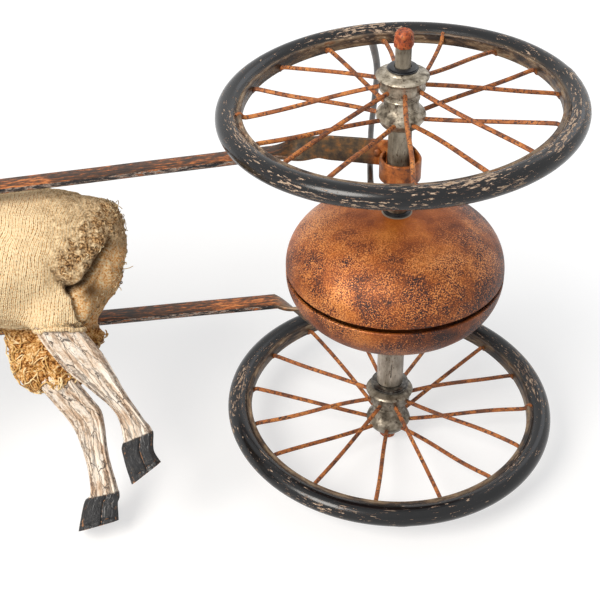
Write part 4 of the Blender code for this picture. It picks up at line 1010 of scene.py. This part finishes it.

# Hand knitted wool, felted: wales 2.5 mm apart and 1.9 mm to a stitch, both chosen,
# and fuzzy, so wholly dull with sheen.
knitted, tree, shader, place = begin("worn_knitted_wool")
crease_shade_and_matting, rubbed_grey_and_top_shade, felt, gold, dark_brown_and_cleft_shade = [add(tree, "Attribute", attribute_name=name).outputs["Fac"]
                                   for name in ("crease_shade_and_matting", "rubbed_grey_and_top_shade", "felt", "gold", "dark_brown_and_cleft_shade")]
knit = add(tree, "Attribute", attribute_name="knit").outputs["Vector"]
wale_mm, stitch_mm = 2.5, 1.9
lay = add(tree, "SeparateXYZ", knit)
wale = add(tree, "Math", lay.outputs[0], wale_mm, operation="DIVIDE")
wale = add(tree, "Math", wale, operation="FRACT")
wale = add(tree, "Math", wale, 0.5, operation="SUBTRACT")
wale = add(tree, "Math", wale, operation="ABSOLUTE")
course = add(tree, "Math", lay.outputs[1], stitch_mm, operation="DIVIDE")
course = add(tree, "Math", wale, 1.1, course, operation="MULTIPLY_ADD")
course = add(tree, "Math", course, 2 * math.pi, operation="MULTIPLY")
course = add(tree, "Math", course, operation="SINE")
stitch = add(tree, "MapRange", course, -1.0, 1.0, 0.55, 1.0)
leg_of_stitch = add(tree, "MapRange", wale, 0.5, 0.3)
spine = add(tree, "MapRange", wale, 0.0, 0.14, 0.35, 1.0)
loops = add(tree, "Math", stitch, leg_of_stitch, operation="MULTIPLY")
loops = add(tree, "Math", loops, spine, operation="MULTIPLY")
fuzz = add(tree, "TexNoise", place, 1000 / 1.5, 4.0, 0.75)
clumps = add(tree, "TexNoise", place, 1000 / 4.5, 4.0, 0.7)
smooth_share = add(tree, "Math", felt, gold, operation="MAXIMUM")
matted = add(tree, "Math", rubbed_grey_and_top_shade, 0.85, operation="MULTIPLY")
matted = add(tree, "Math", matted, smooth_share, operation="MAXIMUM", use_clamp=True)
uneven_fuzz = add(tree, "Math", fuzz, 2.4, -1.16, operation="MULTIPLY_ADD")
loops = add(tree, "Math", loops, uneven_fuzz, operation="ADD")
texture = add(tree, "Mix", matted, loops, fuzz, data_type="FLOAT")
# Yarn colour, dark brown between the loops and pale cream on them: partly the wool's tone, partly
# painted shade and highlight of the knit.
yarn_tone_and_knit_shade = add(tree, "ValToRGB", texture,
           stops=[(0.0, "#542a0c"), (0.12, "#c0772e"), (0.26, "#ffc47a"), (0.48, "#ffe9bf")])
soiled_and_shaded = add(tree, "ValToRGB", fuzz,
             stops=[(0.38, "#1d120a"), (0.46, "#62452b"), (0.54, "#b48754"), (0.63, "#efcf9c")])
tufts = add(tree, "Mix", 0.45, fuzz, add(tree, "TexNoise", place, 1000 / 6, 3.0, 0.6),
            data_type="FLOAT")
golden = add(tree, "ValToRGB", tufts,
             stops=[(0.38, "#331c08"), (0.46, "#935c26"), (0.53, "#dba560"), (0.62, "#fbe0ae")])
felted = add(tree, "ValToRGB", fuzz,
             stops=[(0.36, "#b06a28"), (0.46, "#fabb70"), (0.57, "#ffe9bf")])
# Grey where the rump is rubbed and the lobe matted, and painted shade along the top.
uneven = add(tree, "Math", clumps, 4.0, -1.1, operation="MULTIPLY_ADD")
grey_share = add(tree, "Math", rubbed_grey_and_top_shade, uneven, operation="MULTIPLY", use_clamp=True)
tone = add(tree, "Mix", grey_share, yarn_tone_and_knit_shade, soiled_and_shaded, data_type="RGBA")
tone = add(tree, "Mix", felt, tone, felted, data_type="RGBA")
# Dark brown on the flap: painted shade along the cleft, a spot and its upper part.
tone = add(tree, "Mix", dark_brown_and_cleft_shade, tone, "#51310f", data_type="RGBA")
tone = add(tree, "Mix", gold, tone, golden, data_type="RGBA")
# The cleft and the other cuts are darkened: painted shade, with the matted lobe's darker wool too,
# and less on the fibres.
fibres = add(tree, "MapRange", fuzz, 0.42, 0.6, 1.0, 0.35)
crease_shade_and_matting_dark = add(tree, "Math", crease_shade_and_matting, fibres, operation="MULTIPLY")
tone = add(tree, "Mix", crease_shade_and_matting_dark, tone, "#33241a", data_type="RGBA")
bump = add(tree, "Bump", {"Strength": 0.8, "Distance": 0.0007, "Height": texture})
connect(tree, shader, {"Base Color": tone, "Roughness": 0.95, "Sheen Weight": 0.35,
                       "Sheen Roughness": 0.6, "Sheen Tint": "#ffd8a6", "Specular IOR Level": 0.15,
                       "Normal": bump})
dress(coat, "goat", knitted, "knitted_cloth", "goat_body")

# Loose yarn. Ends and loops that have worked out of the coat: along its torn edges, over
# the rump, and in the golden lining that hangs out round the right hind leg.
loose = random.Random(7)
skin = BVHTree.FromPolygons([vertex.co.copy() for vertex in coat.data.vertices],
                            [tuple(face.vertices) for face in coat.data.polygons])


def yarn_piece(name, finish, radius, strands):
    """One mesh of many yarn strands, each of them a row of points."""
    line = bpy.data.curves.new(name, "CURVE")
    line.dimensions = "3D"
    line.bevel_depth = radius
    line.bevel_resolution = 1
    for strand in strands:
        spline = line.splines.new("POLY")
        spline.points.add(len(strand) - 1)
        for i, (point, place) in enumerate(zip(spline.points, strand)):
            point.co = (*place, 1.0)
            point.radius = 0.45 if i in (0, len(strand) - 1) else 1.0
    made = bpy.data.objects.new(name, line)
    bpy.context.collection.objects.link(made)
    chosen(made)
    bpy.ops.object.convert(target="MESH")
    made = bpy.context.active_object
    bpy.ops.object.shade_smooth()
    return dress(made, "goat", finish, "knitted_cloth")


def wandering(start, steps, step, curl, lift, hold):
    """A strand from a point of the coat. hold is how closely it keeps to the cloth."""
    place, normal = skin.find_nearest(start)[:2]
    way = (Vector([loose.uniform(-1, 1) for _ in range(3)]) + normal * (1 - hold)
           * 1.5).normalized()
    bend = Vector([loose.uniform(-1, 1) for _ in range(3)]).normalized()
    strand = [place - normal * 0.0006]
    for i in range(steps):
        way = (Matrix.Rotation(curl * loose.uniform(0.5, 1.3), 3, bend) @ way).normalized()
        bend = (bend + Vector([loose.uniform(-1, 1) for _ in range(3)]) * 0.3).normalized()
        place = place + way * step
        near, near_normal = skin.find_nearest(place)[:2]
        place = place.lerp(near + near_normal * lift, hold)
        strand.append(place)
    return strand


def spread(mark_name, least):
    """Points of the coat where one of its marks is at least least."""
    return [vertex.co for vertex, share in zip(coat.data.vertices, marks[mark_name])
            if share > least]


yarns = {}
for name, clump, stops in (
        ("loose_wool_end", 9, [(0.36, "#7d6648"), (0.5, "#c0a67c"), (0.62, "#e6d3ab")]),
        ("golden_lining_yarn", 7, [(0.38, "#b58544"), (0.5, "#e0b672"), (0.62, "#f8e2b4")])):
    yarns[name], tree, shader, place = begin(name)
    tone = add(tree, "ValToRGB", add(tree, "TexNoise", place, 1000 / clump, 3.0, 0.6), stops=stops)
    connect(tree, shader, {"Base Color": tone, "Roughness": 0.95, "Sheen Weight": 0.25,
                           "Specular IOR Level": 0.15})
rump_points = [place for place in spread("rubbed_grey_and_top_shade", 0.7) if (goat_inverse @ place).x > -0.262]
edge_points = [goat_place @ (on_goat(u, v, loose.uniform(0, 26)) / 1000) for u, v in (
    (108, 204), (114, 206), (119, 208), (123, 211), (127, 216), (128, 223), (128, 230), (128, 238),
    (127, 246), (126, 254), (124, 262), (122, 268), (119, 274), (115, 281), (111, 290), (108, 298),
    (107, 306), (108, 314), (105, 322), (101, 329)) for _ in range(6)]
hem_points = [goat_place @ (Vector((-242 + 18 * math.cos(turn), -54.5, 19 + 13.5 * math.sin(turn)))
                            / 1000) for turn in (loose.uniform(0, 2 * math.pi) for _ in range(130))]
strands = [wandering(loose.choice(rump_points), 6, 0.0010, 0.7, 0.0004, 0.75) for _ in range(80)]
strands += [wandering(place, 5, 0.0009, 0.6, 0.0005, 0.25) for place in edge_points]
strands += [wandering(place, 5, 0.0009, 0.7, 0.0005, 0.45) for place in hem_points]
for u, v, steps in ((124, 206, 11), (120, 205, 8), (127, 270, 11), (124, 274, 9), (119, 287, 8),
                    (128, 262, 7)):
    root = goat_place @ (on_goat(u - 3, v, 14) / 1000)
    strands += [wandering(root, steps, 0.0010, 0.55, 0.0005, 0.05) for _ in range(3)]
yarn_piece("loose_wool_ends", yarns["loose_wool_end"], 0.00029, strands)

# Rolled hem. The coat's legs end in an edge that has rolled up on itself and frayed.
for name, (x, h, s, half_x, half_s) in (("left_hind", (-242.5, -56.5, 19.0, 17.0, 12.5)),
                                        ("left_fore", (-412.0, -54.0, 16.0, 16.5, 11.5)),
                                        ("right_fore", (-410.0, -65.5, -16.0, 16.5, 11.5))):
    turns = [2 * math.pi * i / 90 for i in range(91)]
    ring = [Vector((x + half_x * math.cos(turn) + 0.8 * noise.noise(Vector((turn * 2, s, 1))),
                    h + 1.8 * noise.noise(Vector((math.cos(turn) * 3, math.sin(turn) * 3, s)))
                    - 1.5 * math.cos(turn), s + half_s * math.sin(turn))) for turn in turns]
    ring[-1] = ring[0].copy()
    thick = [(1.6 + 0.9 * noise.noise(Vector((turn * 5, s, 4)))) / 1000 for turn in turns]
    thick[-1] = thick[0]
    ring = [goat_place @ (point / 1000) for point in ring]
    hem = drawn("rolled_hem_" + name, wire_outlines(ring, thick, 14))
    knit_at = []
    for vertex in hem.data.vertices:
        local = goat_inverse @ vertex.co * 1000
        knit_at.append((math.atan2(local.z - s, local.x - x) * 17, local.y * 2, 0.0))
    plain = {name: [0.0] * len(knit_at) for name in ("crease_shade_and_matting", "rubbed_grey_and_top_shade", "felt", "dark_brown_and_cleft_shade", "gold")}
    marked(hem.data, {**plain, "knit": knit_at})
    bpy.ops.object.shade_smooth()
    dress(hem, "goat", knitted, "knitted_cloth")
gold_points = spread("gold", 0.6)
yarn_piece("golden_lining_loops", yarns["golden_lining_yarn"], 0.00050,
           [wandering(loose.choice(gold_points), 14, 0.0016, 0.33, 0.0009, 0.58)
            for _ in range(170)])

# Legs. Each is sawn from a plank, carved with long flats and grooves, covered with white
# ground and pale paint that has crazed, and has a black hoof with a split and a sole.

# Each leg's distance to the goat's left, then rows down it of its front's x and h, its
# back's x and h and its half thickness, and the two ends of the coronet over its hoof.
leg_rows = {
    "left_hind_leg": (19, (
        (-254, -38, -236, -40, 7), (-259.5, -54.5, -229, -54.5, 9), (-244, -82, -214, -78, 8.5),
        (-226, -101, -203, -104, 8), (-211, -119, -192, -125, 7.5), (-207.5, -137, -187, -134, 8),
        (-209, -147, -188, -148, 8.5), (-205, -169.5, -184, -157, 9.5)),
        ((-208.5, -140.5), (-187, -134.5))),
    "right_hind_leg": (-19, (
        (-258, -80, -240, -80, 7), (-262, -92.5, -235, -92.5, 9), (-253, -108, -226, -107, 8.5),
        (-242, -126, -220, -119, 8), (-236, -150, -219, -149, 7.5), (-235, -174, -215, -176, 8),
        (-240, -181, -217, -184, 8.5), (-246, -200, -218, -196, 10)),
        ((-236.5, -177.5), (-215, -175.5))),
    "left_foreleg": (16, (
        (-427, -38, -399, -38, 9), (-426, -54.5, -399, -54.5, 9), (-424, -90, -403, -90, 8),
        (-427, -118, -408, -120, 8.2), (-418, -146, -404, -146, 7.2), (-412, -168, -396, -166, 8),
        (-414, -176, -396, -175, 8.5), (-416, -193, -392, -189, 9.5)),
        ((-412.5, -171.5), (-396, -169))),
    "right_foreleg": (-16, (
        (-424, -48, -397, -48, 9), (-424, -66.5, -397, -66.5, 9), (-423, -100, -403, -100, 8),
        (-427, -128, -408, -128, 8.2), (-424, -155, -409, -155, 7.2), (-423, -176, -406, -176, 8),
        (-427, -183, -408, -184, 8.5), (-434, -200, -409, -200, 9.5)),
        ((-424.5, -179), (-406.5, -179))),
}

# Old gesso and oil paint on wood: it crazes into plates a few millimetres wide and longer
# cracks along the grain, yellows unevenly, and rubs through to brown wood at the edges.
crazed, tree, shader, place = begin("crazed_painted_wood")
along = add(tree, "Attribute", attribute_name="along").outputs["Vector"]
warp = add(tree, "TexNoise", along, 0.22, 4.0).outputs["Color"]
bent = add(tree, "VectorMath", warp, (4.0, 3.0, 3.0), along, operation="MULTIPLY_ADD")
plates = add(tree, "Mapping", {"Vector": bent, "Scale": (0.035, 0.17, 0.17)})
crack = add(tree, "TexVoronoi", plates, 1.0, feature="DISTANCE_TO_EDGE")
fine_plates = add(tree, "Mapping", {"Vector": bent, "Scale": (0.3, 0.42, 0.42)})
fine_crack = add(tree, "TexVoronoi", fine_plates, 1.0, feature="DISTANCE_TO_EDGE")
where_cracked = add(tree, "TexNoise", along, 0.07, 3.0)
long_mapping = add(tree, "Mapping", {"Vector": bent, "Scale": (0.022, 0.55, 0.55)})
long_streak = add(tree, "TexNoise", long_mapping, 1.0, 6.0, 0.6)
wide = add(tree, "MapRange", crack, 0.008, 0.03, 0.9, 0.0)
seams = add(tree, "Mapping", {"Vector": bent, "Scale": (0.012, 0.3, 0.3)})
seam_line = add(tree, "TexVoronoi", seams, 1.0, feature="DISTANCE_TO_EDGE")
seam_line = add(tree, "MapRange", seam_line, 0.02, 0.09, 0.6, 0.0)
seam_where = add(tree, "MapRange", where_cracked, 0.58, 0.46)
seam_line = add(tree, "Math", seam_line, seam_where, operation="MULTIPLY")
wide = add(tree, "Math", wide, seam_line, operation="MAXIMUM")
thin = add(tree, "MapRange", fine_crack, 0.02, 0.08, 0.4, 0.0)
thin_where = add(tree, "MapRange", where_cracked, 0.52, 0.64)
thin = add(tree, "Math", thin, thin_where, operation="MULTIPLY")
streak_dark = add(tree, "MapRange", long_streak, 0.34, 0.27)
spots = add(tree, "MapRange", add(tree, "TexNoise", place, 1000 / 2.2, 4.0, 0.7), 0.36, 0.3)
dark = add(tree, "Math", wide, thin, operation="MAXIMUM")
dark = add(tree, "Math", dark, streak_dark, operation="MAXIMUM")
dark = add(tree, "Math", dark, spots, operation="MAXIMUM", use_clamp=True)
drawn_grain = add(tree, "Mapping", {"Vector": bent, "Scale": (0.055, 0.24, 0.24)})
cream = add(tree, "TexNoise", drawn_grain, 1.0, 7.0, 0.7)
cream = add(tree, "ValToRGB", cream,
            stops=[(0.32, "#8a6a52"), (0.41, "#cbae92"), (0.5, "#ead8c4"), (0.64, "#f8efe3")])
rubbed = add(tree, "Math", add(tree, "Attribute", attribute_name="edge").outputs["Fac"],
             add(tree, "TexNoise", place, 1000 / 3, 5.0, 0.7), operation="MULTIPLY")
rubbed = add(tree, "MapRange", rubbed, 0.4, 0.52, 0, 0.8)
paint = add(tree, "Mix", rubbed, cream, "#8a6a50", data_type="RGBA")
paint = add(tree, "Mix", dark, paint, "#3a2d26", data_type="RGBA")
hoof_paint = add(tree, "ValToRGB", add(tree, "TexNoise", place, 1000 / 3.2, 6.0, 0.7),
                 stops=[(0.4, "#0f0f11"), (0.55, "#1b1b1d"), (0.64, "#302d2a"), (0.69, "#6b5546")])
hoof_edge = add(tree, "Math", add(tree, "Attribute", attribute_name="worn").outputs["Fac"],
                add(tree, "TexNoise", place, 1000 / 2.5, 4.0, 0.7), operation="MULTIPLY")
hoof_edge = add(tree, "MapRange", hoof_edge, 0.46, 0.56, 0, 0.85)
hoof_paint = add(tree, "Mix", hoof_edge, hoof_paint, "#a8754c", data_type="RGBA")
hoof_share = add(tree, "Attribute", attribute_name="hoof").outputs["Fac"]
painted = add(tree, "Mix", hoof_share, paint, hoof_paint, data_type="RGBA")
height = add(tree, "Math", dark, -1.0, operation="MULTIPLY")
height = add(tree, "Math", add(tree, "TexNoise", place, 1000 / 5, 5.0, 0.6), 0.6, height,
             operation="MULTIPLY_ADD")
bump = add(tree, "Bump", {"Strength": 0.7, "Distance": 0.0005, "Height": height})
dull = add(tree, "MapRange", hoof_share, 0, 1, 0.55, 0.38)
connect(tree, shader, {"Base Color": painted, "Roughness": dull, "Normal": bump})

# An outline has eight corners, in shares of its half width and half thickness, and each
# side from one corner to the next has its own number of points.
corners = ((1, 0.58), (0.70, 1), (-0.70, 1), (-1, 0.58),
           (-1, -0.58), (-0.70, -1), (0.70, -1), (1, -0.58))
counts = (5, 26, 5, 6, 5, 26, 5, 6)
for name, (offset, rows, coronet) in leg_rows.items():
    stations = smooth_rows(rows, 16, 6)
    (start_x, start_h), (end_x, end_h) = coronet
    coronet_way = Vector((end_x - start_x, end_h - start_h)).normalized()
    sole = rows[-1]
    grooves = [(loose.uniform(-0.7, 0.7), loose.uniform(-0.7, 0.7), loose.uniform(0.05, 0.3),
                loose.uniform(0.5, 0.85), loose.uniform(0.4, 1.0)) for _ in range(7)]
    outlines, spots_at, notes = [], [], []
    distance = 0.0
    for i, (fx, fh, bx, bh, half) in enumerate(stations):
        t = i / (len(stations) - 1)
        front, back = Vector((fx, fh)), Vector((bx, bh))
        middle, a = (front + back) / 2, (back - front).length / 2
        across = (back - front).normalized()
        if i:
            distance += (middle - last_middle).length
        last_middle = middle
        outline = []
        for k, count in enumerate(counts):
            (q0, w0), (q1, w1) = corners[k], corners[(k + 1) % 8]
            for step in range(count):
                q, w = q0 + (q1 - q0) * step / count, w0 + (w1 - w0) * step / count
                spot_at = middle + across * q * a
                # Distance past the coronet, which parts the leg from the black hoof.
                over = ((spot_at.x - start_x) * coronet_way.y
                        - (spot_at.y - start_h) * coronet_way.x)
                hoof = soft_step(over, -0.25, 0.25)
                sunk = 0.0
                if abs(w) > 0.99:
                    for q_start, q_end, t_start, t_end, depth in grooves:
                        if t_start < t < t_end:
                            share = (t - t_start) / (t_end - t_start)
                            gap = (q - q_start - (q_end - q_start) * share * 0.35) * a
                            groove = math.exp(-(gap / 0.8) ** 2) * math.sin(math.pi * share) ** 0.5
                            sunk += depth * 0.9 * groove
                    split = 1.1 * math.exp(-((q - 0.12) * a / 0.9) ** 2)
                    sunk = sunk * (1 - hoof) + hoof * split * soft_step(t, 0.998, 0.985)
                to_sole = ((spot_at.x - sole[0]) * (sole[3] - sole[1])
                           - (spot_at.y - sole[1]) * (sole[2] - sole[0]))
                to_sole = abs(to_sole) / math.hypot(sole[2] - sole[0], sole[3] - sole[1])
                band = hoof * math.exp(-((to_sole - 3.4) / 0.5) ** 2)
                sunk += 0.6 * band
                grow = 1 + 0.045 * hoof
                point = middle + across * q * a * grow
                lump = 0.35 * noise.noise(Vector((spot_at.x, spot_at.y, w * 9)) * 0.14)
                depth_at = w * half * grow * (1 - sunk / half) * (1 + lump * 0.06)
                point += across * (lump * 0.8 if abs(q) > 0.99 else 0.0)
                outline.append(goat_place @ (Vector((point.x, point.y, offset + depth_at)) / 1000))
                spots_at.append(outline[-1])
                corner = math.exp(-((abs(q) - 0.85) / 0.16) ** 2)
                rim = max(math.exp(-(over / 1.1) ** 2), band, math.exp(-(to_sole / 1.0) ** 2),
                          math.exp(-((q - 0.12) * a / 0.9) ** 2) * (abs(w) > 0.99), corner * 0.9)
                notes.append(((distance, q * a, w * half), corner, hoof, hoof * min(1.0, rim)))
        outlines.append(outline)
    leg = drawn("carved_" + name, outlines)
    finder = KDTree(len(spots_at))
    for i, spot_at in enumerate(spots_at):
        finder.insert(spot_at, i)
    finder.balance()
    found = [notes[finder.find(vertex.co)[1]] for vertex in leg.data.vertices]
    marked(leg.data, {"along": [note[0] for note in found], "edge": [note[1] for note in found],
                      "hoof": [note[2] for note in found], "worn": [note[3] for note in found]})
    dress(leg, "goat", crazed, "painted_wood", name)

# Head. Carved from one block, with the ears let in and the horns and beard glued on, all
# painted as the legs are, with black eyes and nostrils. The cloth neck runs up into it.
head_pitch = math.radians(27)
head_up = Vector((math.sin(head_pitch), math.cos(head_pitch), 0))
skull = []
skull_rows = ((-426, 123, 12, 12), (-433, 121, 19, 21), (-448, 115, 21.5, 24.5),
              (-466, 106, 19, 21.5), (-485, 97, 15, 17), (-502, 89, 13, 14.5), (-514, 83.5, 11, 12),
              (-519, 81, 6.5, 7.5))
for x, h, half_s, half_h in smooth_rows(skull_rows, 4):
    skull.append([goat_place @ ((Vector((x, h, 0)) + Vector((0, 0, 1)) * half_s * math.cos(turn)
                                 * (1 - 0.14 * max(0.0, math.sin(turn)) ** 2)
                                 + head_up * half_h * math.sin(turn)) / 1000)
                  for turn in (2 * math.pi * k / 36 for k in range(36))])
head = drawn("carved_goat_head", skull)
parts = []
horn_line = ((-443, 130), (-440, 150), (-429, 167), (-412, 176), (-395, 174))
for side in (1, -1):
    horn = smooth_rows([(x, h, side * (10 + 11 * i / 4)) for i, (x, h) in enumerate(horn_line)], 9)
    # Rings of growth are filed across the front of each horn.
    thick = [(6.8 - 5.2 * i / (len(horn) - 1)) * (1 + 0.055 * math.sin(i * 2.1))
             for i in range(len(horn))]
    parts.append(drawn("horn", wire_outlines([goat_place @ (point / 1000) for point in horn],
                                             [r / 1000 for r in thick], 18)))
    root = Vector((-440, 122, side * 15))
    way = Vector((0.25, -0.12, side)).normalized()
    across = Vector((1, 0.3, 0)).cross(way).cross(way).normalized()
    flat = way.cross(across)
    ear = []
    for t, share in ((0.0, 0.45), (0.12, 0.72), (0.3, 0.95), (0.45, 1.02), (0.6, 1.0), (0.75, 0.82),
                     (0.88, 0.52), (0.96, 0.28), (1.0, 0.14)):
        ear.append([goat_place @ ((root + way * 30 * t + across * 8.5 * share * math.cos(turn)
                                   + flat * (2.4 * max(share, 0.4) * math.sin(turn)
                                             + 1.6 * share * math.cos(turn) ** 2)) / 1000)
                    for turn in (2 * math.pi * k / 20 for k in range(20))])
    parts.append(drawn("ear", ear))
beard_line = ((-490, 88, 0), (-494.5, 78, 0), (-496, 68, 0), (-494.5, 58, 0), (-492, 50, 0))
beard = smooth_rows(beard_line, 6)
beard_radii = [(7.5 - 5.9 * (i / (len(beard) - 1)) ** 1.4) / 1000 for i in range(len(beard))]
beard = [goat_place @ (point / 1000) for point in beard]
parts.append(drawn("beard", wire_outlines(beard, beard_radii, 20)))
joined(head, *parts)
applied(head, "REMESH", mode="VOXEL", voxel_size=0.0009)
applied(head, "SMOOTH", factor=0.5, iterations=3)
marks = {"along": [], "edge": [], "hoof": [], "worn": []}
outward = [vertex.normal.copy() for vertex in head.data.vertices]
for vertex, way_out in zip(head.data.vertices, outward):
    x, h, s = goat_inverse @ vertex.co * 1000
    level = (Vector((x, h, 0)) - Vector((-466, 106, 0))).dot(head_up)
    ahead = (Vector((x, h, 0)) - Vector((-466, 106, 0))).dot(Vector((-head_up.y, head_up.x, 0)))
    side = abs(s)
    # Eye: an almond ball under a brow, 9 mm wide, 4 mm before and 6 mm over the middle.
    eye = math.hypot((ahead - 4.0) / 4.6, (level - 6.0) / 3.3) if side > 9 else 9.0
    push = 1.3 * math.exp(-(eye / 0.85) ** 4) - 1.5 * math.exp(-((eye - 1.45) / 0.35) ** 2)
    brow = math.hypot((ahead - 3.0) / 8.0, (level - 11.5) / 2.4) if side > 8 else 9.0
    push += 1.1 * math.exp(-brow ** 2)
    mouth = math.exp(-((level + 6.5 + 0.10 * (ahead - 50)) / 0.8) ** 2) * soft_step(ahead, 26, 32)
    push -= 1.1 * mouth
    nostril = math.exp(-((ahead - 50.5) / 2.6) ** 2 - ((level - 2.6) / 1.4) ** 2)
    nostril *= soft_step(side, 3, 5)
    push -= 1.6 * nostril
    # The beard's locks are cut with a gouge.
    if h < 80 and x < -480:
        push += 0.6 * math.sin(math.atan2(s, x + 491) * 7 + h * 0.05)
    horned = h > 132 and x > -452
    place = Vector((x, h, s))
    push += 0.3 * noise.noise(place * 0.16)
    vertex.co += way_out * push / 1000
    black = max(soft_step(eye, 1.12, 0.95), min(1.0, 1.2 * nostril), 0.9 * mouth, 0.85 * horned)
    marks["along"].append((x, h, s))
    marks["edge"].append(0.9 * math.exp(-((eye - 1.3) / 0.25) ** 2) + 0.35 * (h < 80 and x < -480))
    marks["hoof"].append(black)
    marks["worn"].append(0.75 * horned * (0.5 + 0.5 * math.sin((x + h) * 0.9)))
marked(head.data, marks)
bpy.ops.object.shade_smooth()
dress(head, "goat", crazed, "painted_wood", "goat_head")
